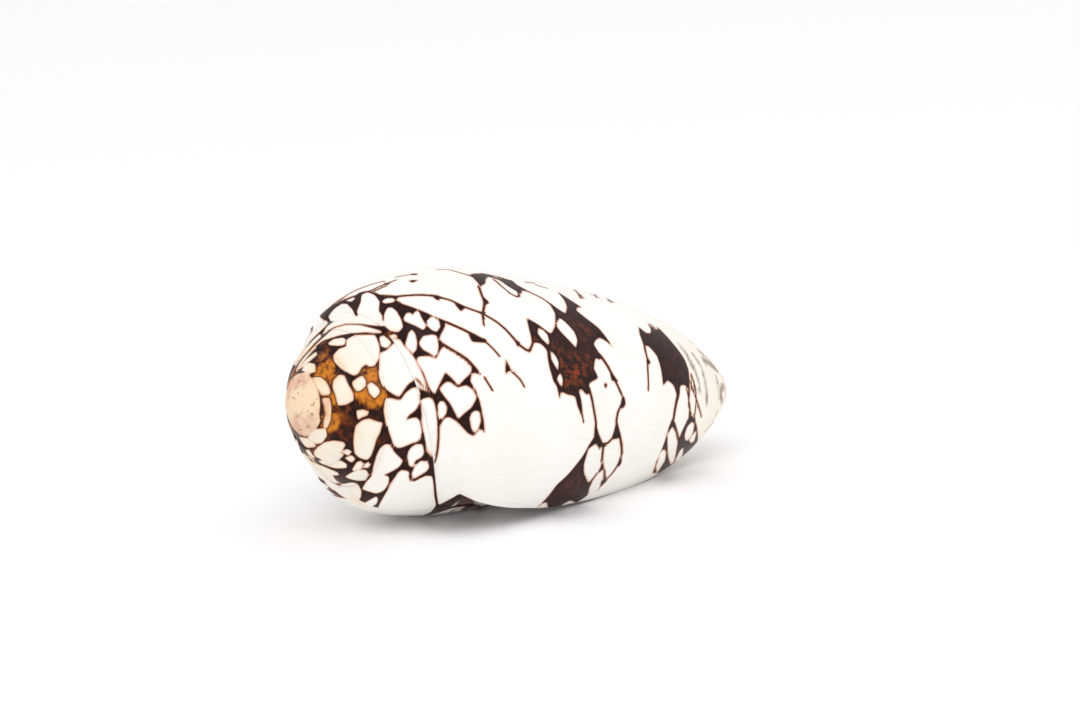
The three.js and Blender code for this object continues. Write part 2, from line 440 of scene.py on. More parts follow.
def layOutSkin():
    skin = SkinLayout()
    early = skinGrid["earlyRows"]
    last = skinGrid["lastRows"]
    wallRows = skinGrid["wallRows"]
    layShoulder(skin, range(firstStep, turnBack - 1), early)
    # the rows become finer where the last whorl starts
    coarse = [skin.grid(turnBack - 1, row, early) for row in range(early + 1)]
    fine = [skin.grid(turnBack, row, last) for row in range(last + 1)]
    skin.stitch(coarse, fine, (turnBack - 0.5) / stepsPerTurn)
    layShoulder(skin, range(turnBack, 0), last)
    # the wall starts one turn back, along a slant that leaves room for the lip's end
    for step in range(turnBack, 0):
        here = max(sutureShift - (step - turnBack), 0)
        following = max(sutureShift - (step + 1 - turnBack), 0)
        turn = (step + 0.5) / stepsPerTurn
        if following < here:
            skin.face([skin.onWall(step, here), skin.onWall(step + 1, here),
                       skin.onWall(step + 1, following)], turn)
        for row in range(here, wallRows):
            skin.face([skin.onWall(step, row), skin.onWall(step, row + 1),
                       skin.onWall(step + 1, row + 1), skin.onWall(step + 1, row)], turn)
    # the flat face between the lip's edge and the whorl before it
    lipEdge = [skin.grid(0, row, last) for row in range(last + 1)]
    lipEdge += [skin.onWall(0, row) for row in range(1, sutureShift + 1)]
    slant = [skin.onWall(turnBack + sutureShift - i, i) for i in range(sutureShift + 1)]
    skin.stitch(lipEdge, slant, 0.0)
    for row in range(sutureShift, wallRows):
        skin.face([skin.onWall(turnBack, row), skin.onWall(0, row),
                   skin.onWall(0, row + 1), skin.onWall(turnBack, row + 1)], 0.0)
    # the front end is closed by rings that draw in to a point
    rim = [skin.onWall(step, wallRows) for step in range(turnBack, 1)]
    skin.faces += closeRings(skin, rim, "front")
    # the worn cap of the spire closes the first whorl
    rim = [skin.grid(step, 0, early) for step in range(firstStep, firstStep - turnBack - sutureShift + 1)]
    rim += [skin.grid(firstStep, row, early) for row in range(early - 1, 0, -1)]
    skin.faces += [face[::-1] for face in closeRings(skin, rim, "cap")]
    skin.faceTurns += [0.0] * (len(skin.faces) - len(skin.faceTurns))
    return skin


def closeRings(skin, rim, which):
    faces = []
    outer = rim
    rings = skinGrid["capRings"] if which == "cap" else skinGrid["frontRings"]
    for ring in range(rings - 1, 0, -1):
        share = ring / rings
        shares = (share, 1.0) if which == "cap" else (1.0, share)
        inner = [skin.point(skin.turns[c], skin.shares[c], *shares) for c in rim]
        for i in range(len(rim)):
            j = (i + 1) % len(rim)
            faces.append([outer[i], outer[j], inner[j], inner[i]])
        outer = inner
    shares = (0.0, 1.0) if which == "cap" else (1.0, 0.0)
    centre = skin.point(skin.turns[rim[0]], skin.shares[rim[0]], *shares)
    for i in range(len(rim)):
        faces.append([outer[i], outer[(i + 1) % len(rim)], centre])
    return faces


def flatMesh(name, places, faces):
    mesh = bpy.data.meshes.new(name)
    mesh.from_pydata(places, [], faces)
    return mesh


def keepField(mesh, name, values, domain="POINT", kind="FLOAT"):
    field = mesh.attributes.get(name) or mesh.attributes.new(name, kind, domain)
    field.data.foreach_set("vector" if kind == "FLOAT_VECTOR" else "value",
                           np.asarray(values, dtype=np.float32).ravel())


def readAll(parts, name, width=1, kind=float):
    values = np.zeros(len(parts) * width, dtype=kind)
    parts.foreach_get(name, values)
    return values.reshape(-1, width) if width > 1 else values


def readField(mesh, name):
    return readAll(mesh.attributes[name].data, "value", kind=np.float32)


# The tree that gives each point of the skin its place
def makeGrowthTree():
    tree = bpy.data.node_groups.new("shellGrowth", "GeometryNodeTree")
    tree.interface.new_socket("Geometry", in_out="INPUT", socket_type="NodeSocketGeometry")
    tree.interface.new_socket("Geometry", in_out="OUTPUT", socket_type="NodeSocketGeometry")
    for name, value in dict(shellSizes, frontDome=skinGrid["frontDome"]).items():
        entry = tree.interface.new_socket(name, in_out="INPUT", socket_type="NodeSocketFloat")
        entry.default_value = value
    tree.interface.new_socket("skinMaterial", in_out="INPUT", socket_type="NodeSocketMaterial")
    bench = NodeBench(tree)
    given = bench.add("NodeGroupInput")
    size = {name: bench.out(given, name) for name in shellSizes}
    x, y, z = skinPoint(size, bench.field("turn"), bench.field("share"))
    capShare = bench.field("capShare")
    frontShare = bench.field("frontShare")
    across = capShare * frontShare
    frontCentre = size["shellLength"] - size["tipAdvance"] * 0.5
    frontDepth = frontCentre + bench.out(given, "frontDome") * (1.0 - frontShare * frontShare)
    depth = between(0.0 - frontDepth, z, frontShare) * capShare * capShare
    place = bench.add("ShaderNodeCombineXYZ", None, {"X": x * across, "Y": y * across, "Z": depth})
    moved = bench.add("GeometryNodeSetPosition", None,
                      {"Geometry": given.outputs["Geometry"], "Position": place.outputs[0]})
    real = bench.add("GeometryNodeRealizeInstances", None, {"Geometry": moved.outputs[0]})
    dressed = bench.add("GeometryNodeSetMaterial", None,
                        {"Geometry": real.outputs[0], "Material": given.outputs["skinMaterial"]})
    leaving = bench.add("NodeGroupOutput")
    tree.links.new(dressed.outputs[0], leaving.inputs[0])
    return tree


def plainMesh(piece):
    graph = bpy.context.evaluated_depsgraph_get()
    graph.update()
    return bpy.data.meshes.new_from_object(piece.evaluated_get(graph), depsgraph=graph)


def growSkin(skinMaterial):
    layout = layOutSkin()
    mesh = flatMesh("shellLayout", [(0.0, 0.0, 0.0)] * len(layout.turns), layout.faces)
    keepField(mesh, "turn", layout.turns)
    keepField(mesh, "share", layout.shares)
    keepField(mesh, "capShare", layout.capShares)
    keepField(mesh, "frontShare", layout.frontShares)
    keepField(mesh, "faceTurn", layout.faceTurns, "FACE")
    piece = addObject("shellLayout", mesh)
    modifier = piece.modifiers.new("growth", "NODES")
    modifier.node_group = makeGrowthTree()
    sizes = dict(shellSizes, frontDome=skinGrid["frontDome"], skinMaterial=skinMaterial)
    for entry in modifier.node_group.interface.items_tree:
        if entry.in_out == "INPUT" and entry.name in sizes:
            modifier[entry.identifier] = sizes[entry.name]
    grown = plainMesh(piece)
    piece.modifiers.remove(modifier)
    bpy.data.objects.remove(piece)
    print("skin grown:", len(grown.vertices), "points")
    return grown


# The hollow behind the lip
hollowSizes = {
    "wall": 1.9,
    "lipWall": 0.9,
    "thinTurns": 0.16,
    "startTurn": -0.7,
    "endTurn": 0.045,
    "topShare": 0.3,
    "innerLip": 0.45,
    "canalDepth": 1.3,
    "canalStart": 0.78,
    "canalReach": 2.5,
    "smallestStart": 0.3,
    "openingTurns": 0.08,
    "ringsPerTurn": 72,
    "shoulderPoints": 8,
    "wallPoints": 24,
    "slopeStep": 0.02,
    "frontThickness": 0.7,
    "mouthStart": 0.9,
    "columnTop": 3.0,
    "leastRadius": 0.4,
    "leastColumn": 0.25,
}


def hollowOutline(turn):
    size = shellSizes
    hollow = hollowSizes
    grown = min(turn, 0.0)
    thickness = between(hollow["wall"], hollow["lipWall"], eased(grown, -hollow["thinTurns"], 0.0))
    opened = eased(turn, hollow["startTurn"], hollow["startTurn"] + hollow["openingTurns"])
    opened = between(hollow["smallestStart"], 1.0, opened)
    loop = []
    for i in range(hollow["shoulderPoints"]):
        share = between(hollow["topShare"], 1.0, i / hollow["shoulderPoints"])
        radius, depth = shoulderPoint(size, grown, share)
        nextRadius, nextDepth = shoulderPoint(size, grown, share + hollow["slopeStep"])
        away = Vector((nextDepth - depth, radius - nextRadius)).normalized()
        clock = turn * 360.0 + shoulderAhead(size, grown, share)
        loop.append((radius - away.x * thickness, clock, depth - away.y * thickness))
    shares = [i / hollow["wallPoints"] for i in range(hollow["wallPoints"] + 1)]
    for share in shares:
        radius, depth = wallPoint(size, grown, share)
        thinned = thickness * between(1.0, hollow["frontThickness"], share)
        radius = max(radius - thinned, hollow["leastRadius"])
        depth += hollow["canalReach"] * eased(share, hollow["mouthStart"], 1.0)
        loop.append((radius, turn * 360.0 + size["frontAhead"] * share, depth))
    beforeRadius, beforeDepth = suturePoint(size, grown)
    frontEnd = size["shellLength"] + size["tipAdvance"] * (grown - 1.0)
    for share in shares[::-1]:
        canal = hollow["canalDepth"] * eased(share, hollow["canalStart"], 1.0)
        radius = beforeRadius * taperAt(size, share) + hollow["innerLip"] - canal
        depth = between(beforeDepth + hollow["columnTop"], frontEnd, share)
        depth += (hollow["canalReach"] + size["tipAdvance"]) * eased(share, hollow["mouthStart"], 1.0)
        loop.append((max(radius, hollow["leastColumn"]), turn * 360.0 + size["frontAhead"] * share, depth))
    middleDepth = sum(p[2] for p in loop) / len(loop)
    middleRadius = sum(p[0] for p in loop) / len(loop)
    places = []
    for radius, clock, depth in loop:
        radius = between(middleRadius, radius, opened)
        depth = between(middleDepth, depth, opened)
        angle = math.radians(clock)
        places.append((radius * math.sin(angle), radius * math.cos(angle), -depth))
    return places


def makeHollow(material):
    hollow = hollowSizes
    count = round((hollow["endTurn"] - hollow["startTurn"]) * hollow["ringsPerTurn"])
    turns = [between(hollow["startTurn"], hollow["endTurn"], i / count) for i in range(count + 1)]
    places = []
    faces = []
    for turn in turns:
        places += hollowOutline(turn)
    width = len(places) // len(turns)
    for ring in range(count):
        for i in range(width):
            j = (i + 1) % width
            here = ring * width
            there = here + width
            faces.append([there + i, there + j, here + j, here + i])
    for ring, turned in ((0, True), (count, False)):
        start = ring * width
        for i in range(width // 2 - 1):
            strip = [start + i, start + width - 1 - i, start + width - 2 - i, start + i + 1]
            faces.append(strip[::-1] if turned else strip)
    mesh = flatMesh("hollow", places, faces)
    mesh.materials.append(material)
    return mesh


def cutHollow(skinMesh, hollowMesh):
    shell = addObject("coneShell", skinMesh)
    cutter = addObject("hollow", hollowMesh)
    cut = shell.modifiers.new("hollow", "BOOLEAN")
    cut.operation = "DIFFERENCE"
    cut.solver = "MANIFOLD"
    cut.material_mode = "TRANSFER"
    cut.object = cutter
    hollowed = plainMesh(shell)
    for piece in (shell, cutter):
        bpy.data.objects.remove(piece)
    print("hollow cut:", len(hollowed.polygons), "faces")
    return hollowed


# Marks on the skin. Each point is (degrees of growth, with the lip at 0; share of the profile).
darkShapes = {
    "middleBlotch": [
        (-107, 1.195), (-103, 1.212), (-100.6, 1.233), (-106, 1.262), (-112, 1.278), (-120, 1.290),
        (-114, 1.308), (-108.8, 1.33), (-108, 1.312), (-105, 1.295), (-101, 1.312), (-96, 1.343),
        (-91, 1.356), (-86, 1.366), (-88.5, 1.345), (-89.4, 1.325), (-87.6, 1.304), (-84.6, 1.286),
        (-78.6, 1.299), (-76.8, 1.285), (-77.2, 1.27), (-72, 1.25), (-67.6, 1.258), (-64.3, 1.215),
        (-60, 1.206), (-58.6, 1.193), (-61, 1.172), (-59.6, 1.162), (-56.6, 1.166), (-46.7, 1.168),
        (-51, 1.153), (-53, 1.146), (-57, 1.14), (-57.4, 1.11), (-58, 1.085), (-55, 1.073),
        (-60, 1.07), (-62.7, 1.06), (-67.6, 1.058), (-72, 1.062), (-75.9, 1.07), (-78.6, 1.058),
        (-78.9, 1.038), (-78.2, 1.022), (-81.5, 1.03), (-86, 1.038), (-91.4, 1.052), (-90.4, 1.068),
        (-88.8, 1.086), (-85.4, 1.117), (-89.6, 1.148), (-95, 1.172), (-100, 1.19),
    ],
    "lowerBlotch": [
        (-42, 1.232), (-36.2, 1.2), (-30.2, 1.175), (-24, 1.142), (-20.3, 1.122), (-14.8, 1.086),
        (-7.1, 1.064), (0, 1.042), (-3.2, 1.058), (-3.8, 1.075), (0.5, 1.098), (1.2, 1.12),
        (0.6, 1.15), (-2.8, 1.185), (-2.8, 1.2), (0, 1.235), (-5, 1.268), (-11, 1.257),
        (-15.5, 1.244), (-20.3, 1.205), (-26, 1.19), (-33.5, 1.198), (-36.4, 1.23), (-34, 1.25),
        (-36, 1.264), (-39, 1.25),
    ],
    "frontBlotch": [
        (-92.3, 1.517), (-99.5, 1.524), (-106, 1.543), (-102.8, 1.561), (-104, 1.585), (-108, 1.6),
        (-113.8, 1.608), (-110, 1.62), (-109, 1.635), (-114, 1.65), (-109.4, 1.662), (-101.7, 1.681),
        (-91.8, 1.706), (-83, 1.71), (-73, 1.697), (-69.5, 1.688), (-72, 1.67), (-70.9, 1.645),
        (-65, 1.636), (-63.5, 1.622), (-67.6, 1.616), (-71, 1.607), (-73, 1.583), (-69.8, 1.556),
        (-79.7, 1.562), (-87.4, 1.561), (-92.3, 1.539),
    ],
    "topBlotch": [
        (-122, 1.05), (-124, 1.075), (-121, 1.1), (-122, 1.14), (-117, 1.135), (-110.5, 1.157),
        (-112, 1.13), (-108, 1.105), (-113, 1.085), (-119, 1.08),
    ],
    "wedgeOne": [(-116.5, 0.56), (-113, 0.6), (-111, 0.56), (-113.4, 0.545)],
    "wedgeTwo": [(-107.5, 0.65), (-102.6, 0.7), (-100.8, 0.645), (-104, 0.64)],
    "wedgeThree": [(-105, 0.885), (-100.8, 0.895), (-100.5, 0.84), (-102.5, 0.855)],
    "wedgeFour": [(-90.3, 0.6), (-86, 0.645), (-84.2, 0.7), (-82, 0.7), (-84.2, 0.6), (-87, 0.595)],
    "wedgeFive": [(-73, 0.783), (-68.3, 0.8), (-66.5, 0.83), (-67.5, 0.78), (-66.5, 0.745)],
    "wedgeSix": [(-82, 0.91), (-78.5, 0.955), (-77.2, 0.915)],
    "blobOne": [(-142, 0.41), (-138.6, 0.45), (-138.5, 0.4)],
    "blobTwo": [(-133, 0.545), (-129.8, 0.6), (-129.4, 0.54)],
    "blobThree": [(-138.5, 0.65), (-136, 0.68), (-134.6, 0.65), (-136.4, 0.63)],
    "thinBlob": [(-86, 1.512), (-81.8, 1.52), (-80.4, 1.507), (-81.5, 1.5)],
    "sideWedge": [(-76, 1.317), (-71, 1.33), (-67.8, 1.345), (-67.6, 1.316)],
    "chainBlob": [(-63, 1.347), (-60, 1.364), (-57, 1.366), (-54.6, 1.352), (-55.6, 1.34), (-60, 1.35)],
    "chainWedge": [(-50.5, 1.32), (-46, 1.33), (-40.3, 1.347), (-39.2, 1.323), (-39, 1.3), (-44, 1.312)],
    "ogiveWedge": [(-48, 1.222), (-42, 1.238), (-37.5, 1.26), (-35.5, 1.266), (-37, 1.235), (-40, 1.218)],
    "leftBlob": [(-31, 1.36), (-26, 1.373), (-23.4, 1.366), (-24, 1.353), (-29, 1.356)],
    "middleWedge": [(-28.6, 1.277), (-24, 1.29), (-20.8, 1.302), (-22.3, 1.285), (-18.8, 1.262),
                    (-22, 1.27)],
    "bottomWedge": [(-16, 1.302), (-14.6, 1.33), (-11, 1.318), (-7, 1.31), (-11, 1.308)],
    "frontBlob": [(-56.5, 1.686), (-53.5, 1.702), (-49.5, 1.699), (-46, 1.682), (-50, 1.686)],
}

paleShapes = {
    "islandOne": [(-95.8, 1.193), (-94.4, 1.205), (-89.6, 1.222), (-85, 1.219), (-81, 1.2), (-83.5, 1.185),
                  (-87.5, 1.165), (-90.5, 1.16), (-93.5, 1.175)],
    "islandTwo": [(-87, 1.078), (-86, 1.092), (-84, 1.1), (-80.5, 1.094), (-79, 1.086), (-81.5, 1.07),
                  (-84, 1.065)],
    "islandThree": [(-76.4, 1.086), (-74, 1.098), (-71.5, 1.102), (-67.6, 1.09), (-72, 1.078)],
    "islandFour": [(-66.5, 1.098), (-63.5, 1.1), (-60.4, 1.09), (-63.5, 1.078)],
    "islandFive": [(-35.8, 1.228), (-34.4, 1.248), (-30, 1.263), (-25, 1.262), (-19.2, 1.25), (-15, 1.238),
                   (-20.3, 1.208), (-26, 1.192), (-32.5, 1.2)],
}

# Lines: width at the start and at the end in millimetres, then the points they pass through
darkLines = [
    (0.55, 0.5, [(-81.8, 0.91), (-78, 0.935), (-75.3, 0.975), (-74.4, 1.002), (-76, 1.012), (-78.4, 1.026)]),
    (0.6, 0.5, [(-163, 0.148), (-170, 0.12), (-176.5, 0.085), (-183, 0.042)]),
    (0.6, 0.5, [(-132.5, 0.27), (-127, 0.338), (-122, 0.43), (-118.2, 0.508), (-113.8, 0.571),
                (-108.9, 0.635), (-102.8, 0.688), (-96.4, 0.783)]),
    (0.5, 0.55, [(-96.4, 0.783), (-101.7, 0.857), (-106.6, 0.889), (-111.6, 0.931)]),
    (0.5, 0.5, [(-96.4, 0.783), (-93, 0.82), (-90.7, 0.846), (-86, 0.885), (-81.4, 0.912)]),
    (0.4, 0.2, [(-96, 0.775), (-90.7, 0.74)]),
    (0.7, 0.5, [(-119.3, 0.28), (-111.6, 0.35), (-103.9, 0.423), (-97.3, 0.508), (-89.6, 0.603),
                (-84, 0.68)]),
    (0.45, 0.25, [(-84, 0.68), (-79, 0.72), (-75, 0.745)]),
    (0.5, 0.5, [(-92, 0.365), (-88, 0.385), (-84, 0.423), (-76.4, 0.508), (-69.8, 0.55)]),
    (0.45, 0.2, [(-66, 0.585), (-60, 0.615)]),
    (0.4, 0.2, [(-66.5, 0.81), (-63, 0.85), (-60, 0.868)]),
    (0.7, 0.55, [(-79, 1.297), (-75, 1.312), (-68, 1.332), (-62, 1.35)]),
    (0.5, 0.6, [(-56, 1.343), (-52, 1.326), (-48, 1.32)]),
    (0.6, 0.55, [(-61, 1.21), (-56, 1.215), (-52, 1.219), (-46, 1.226)]),
    (0.5, 0.55, [(-36.5, 1.266), (-37, 1.285), (-39.5, 1.305)]),
    (0.6, 0.6, [(-40.5, 1.34), (-36, 1.353), (-31, 1.363)]),
    (0.6, 0.55, [(-36, 1.266), (-32, 1.268), (-28, 1.272)]),
    (0.6, 0.5, [(-24.5, 1.357), (-20, 1.345), (-16, 1.328)]),
    (0.5, 0.5, [(-19.5, 1.262), (-16, 1.252), (-13, 1.253)]),
    (0.5, 0.55, [(-21.3, 1.3), (-17.5, 1.31), (-14.8, 1.325)]),
    (0.6, 0.4, [(-92, 1.52), (-88, 1.513), (-84, 1.51), (-77, 1.496), (-70, 1.486), (-66, 1.48)]),
    (0.9, 0.7, [(-66, 1.63), (-61, 1.617), (-55.5, 1.607), (-48, 1.6)]),
    (0.6, 0.5, [(-48, 1.683), (-44, 1.672), (-40, 1.66)]),
    (0.5, 0.45, [(-73, 1.695), (-66, 1.69), (-60, 1.684), (-55, 1.69)]),
    (0.5, 0.4, [(-80, 1.72), (-70, 1.73), (-60, 1.728), (-50, 1.722), (-40, 1.742), (-28, 1.76)]),
    (0.4, 0.25, [(-139, 1.505), (-134, 1.49), (-128, 1.468)]),
    (0.4, 0.25, [(-139, 1.548), (-133, 1.535), (-127, 1.517)]),
    (0.35, 0.2, [(-134, 1.415), (-127, 1.395), (-119, 1.37)]),
    (0.5, 0.4, [(-107, 1.06), (-105, 1.075), (-106, 1.09), (-109, 1.1)]),
    (0.5, 0.4, [(-118, 1.062), (-112, 1.058), (-107, 1.062)]),
]

# Where the spire is seen whole, its cells are drawn on sheets: enlarged parts of the 1080 x 721 view,
# with the sheet's top left corner in that view and how much it is enlarged.
drawingSheets = {
    "spireSheet": {"corner": (280.0, 250.0), "enlarged": 5.6, "brush": "view"},
    "shoulderSheet": {"corner": (380.0, 255.0), "enlarged": 7.65, "brush": "skin"},
    "frontSheet": {"corner": (500.0, 260.0), "enlarged": 6.04, "brush": "skin"},
    "leftSheet": {"corner": (269.0, 253.0), "enlarged": 5.502, "brush": "skin"},
    "rightSheet": {"corner": (464.0, 253.0), "enlarged": 5.502, "brush": "skin"},
    "notchSheet": {"corner": (269.0, 253.0), "enlarged": 5.502, "brush": "view"},
}

sheetLines = {
    "notchSheet": [
        (0.8, 0.6, [(895, 1165), (905, 1230), (913, 1300), (922, 1350), (930, 1392)]),
        (0.5, 0.4, [(908, 800), (924, 850), (932, 930), (933, 1010), (928, 1080), (918, 1135),
                    (902, 1165)]),
    ],
    "leftSheet": [
        (0.6, 0.4, [(292, 350), (330, 312), (400, 268), (470, 238), (560, 206), (640, 172), (700, 150)]),
        (0.4, 0.35, [(310, 325), (400, 250), (520, 188), (630, 155)]),
        (0.35, 0.35, [(640, 182), (600, 200), (572, 212)]),
        (0.35, 0.4, [(700, 132), (760, 122), (800, 118)]),
        (0.35, 0.5, [(925, 90), (985, 92), (1050, 108), (1120, 130), (1165, 152)]),
        (0.5, 0.45, [(590, 236), (700, 240), (830, 233), (930, 240)]),
    ],
    "rightSheet": [
        (0.5, 0.5, [(100, 112), (190, 130), (260, 155), (300, 186), (360, 216), (430, 248), (478, 286),
                    (505, 330)]),
        (0.3, 0.3, [(335, 160), (385, 166)]),
        (0.3, 0.3, [(400, 178), (455, 193)]),
        (0.35, 0.3, [(610, 210), (636, 226), (655, 246)]),
        (0.3, 0.3, [(698, 228), (742, 246)]),
        (0.3, 0.3, [(790, 262), (822, 270)]),
        (0.4, 0.4, [(1030, 395), (1085, 450), (1130, 520), (1180, 580), (1215, 640)]),
        (0.4, 0.4, [(1232, 680), (1262, 760), (1288, 830), (1305, 900)]),
        (0.35, 0.3, [(1225, 750), (1240, 820), (1248, 900), (1225, 950)]),
        (0.35, 0.35, [(1250, 900), (1262, 960), (1280, 1010)]),
        (0.35, 0.3, [(640, 850), (650, 885), (656, 928)]),
    ],
}

# Brown smudges on the front end, drawn the same way
sheetSmudges = {
    "rightSheet": [
        (1.3, 1.5, [(1322, 592), (1352, 608), (1388, 640)]),
        (1.5, 1.2, [(1424, 738), (1412, 770), (1420, 812)]),
        (0.35, 0.3, [(1180, 500), (1225, 560), (1262, 630), (1290, 700), (1300, 762)]),
        (0.35, 0.3, [(1262, 560), (1305, 630), (1330, 720), (1336, 820)]),
        (0.6, 0.5, [(1300, 545), (1345, 575), (1385, 600)]),
        (0.3, 0.3, [(1388, 680), (1398, 740), (1400, 800)]),
        (0.3, 0.2, [(1390, 880), (1376, 940), (1350, 985)]),
    ],
}

smudgeCopies = [0.0, -97.0, -188.0]

netGround = {
    "notchSheet": [
        [(926, 1392), (1045, 1332), (1105, 1352), (1124, 1364), (1100, 1386), (1040, 1398), (990, 1410),
         (930, 1430), (840, 1450), (880, 1428)],
    ],
    "leftSheet": [
        [(283, 350), (300, 335), (345, 372), (330, 392), (305, 372)],
        [(440, 262), (490, 240), (500, 262), (490, 300), (470, 292)],
    ],
    "rightSheet": [
        [(30, 118), (95, 112), (150, 122), (120, 140), (112, 170), (92, 182), (70, 160)],
        [(180, 130), (240, 146), (275, 168), (310, 192), (372, 214), (330, 210), (285, 196), (262, 176),
         (235, 156)],
        [(770, 712), (786, 720), (785, 748), (774, 740)],
    ],
    "shoulderSheet": [
        [(-60, 300), (0, 310), (110, 335), (180, 375), (300, 420), (400, 460), (490, 500), (500, 545),
         (470, 600), (455, 650), (490, 690), (560, 740), (650, 800), (720, 850), (770, 915), (710, 905),
         (690, 960), (735, 1040), (765, 1110), (790, 1230), (800, 1355), (765, 1335), (720, 1385),
         (670, 1360), (590, 1280), (530, 1245), (470, 1290), (435, 1310), (425, 1210), (405, 1120),
         (370, 1040), (310, 990), (268, 950), (262, 980), (250, 960), (262, 930), (300, 960), (360, 1030),
         (330, 930), (290, 850), (262, 790), (225, 740), (180, 690), (150, 650), (80, 650), (0, 610),
         (-60, 580)],
        [(440, 1300), (445, 1400), (430, 1530), (410, 1530), (425, 1400), (420, 1300)],
    ],
    "spireSheet": [
        [(222, 368), (270, 325), (335, 288), (400, 272), (440, 240), (490, 228), (540, 240), (580, 258),
         (660, 262), (640, 300), (600, 310), (620, 316), (700, 330), (700, 480), (660, 500), (600, 470),
         (570, 430), (540, 412), (450, 405), (380, 408), (290, 412), (265, 400), (240, 385)],
        [(768, 765), (790, 780), (840, 800), (880, 830), (905, 840), (890, 860), (880, 872), (850, 842),
         (800, 838), (780, 850)],
    ],
    "frontSheet": [
        [(1040, 960), (1060, 985), (1085, 1070), (1110, 1010), (1140, 965), (1160, 940), (1188, 1000),
         (1190, 1100), (1150, 1160), (1090, 1230), (1040, 1270), (990, 1305), (955, 1300), (922, 1285),
         (945, 1210), (985, 1120), (1005, 1060), (1020, 1010)],
    ],
}

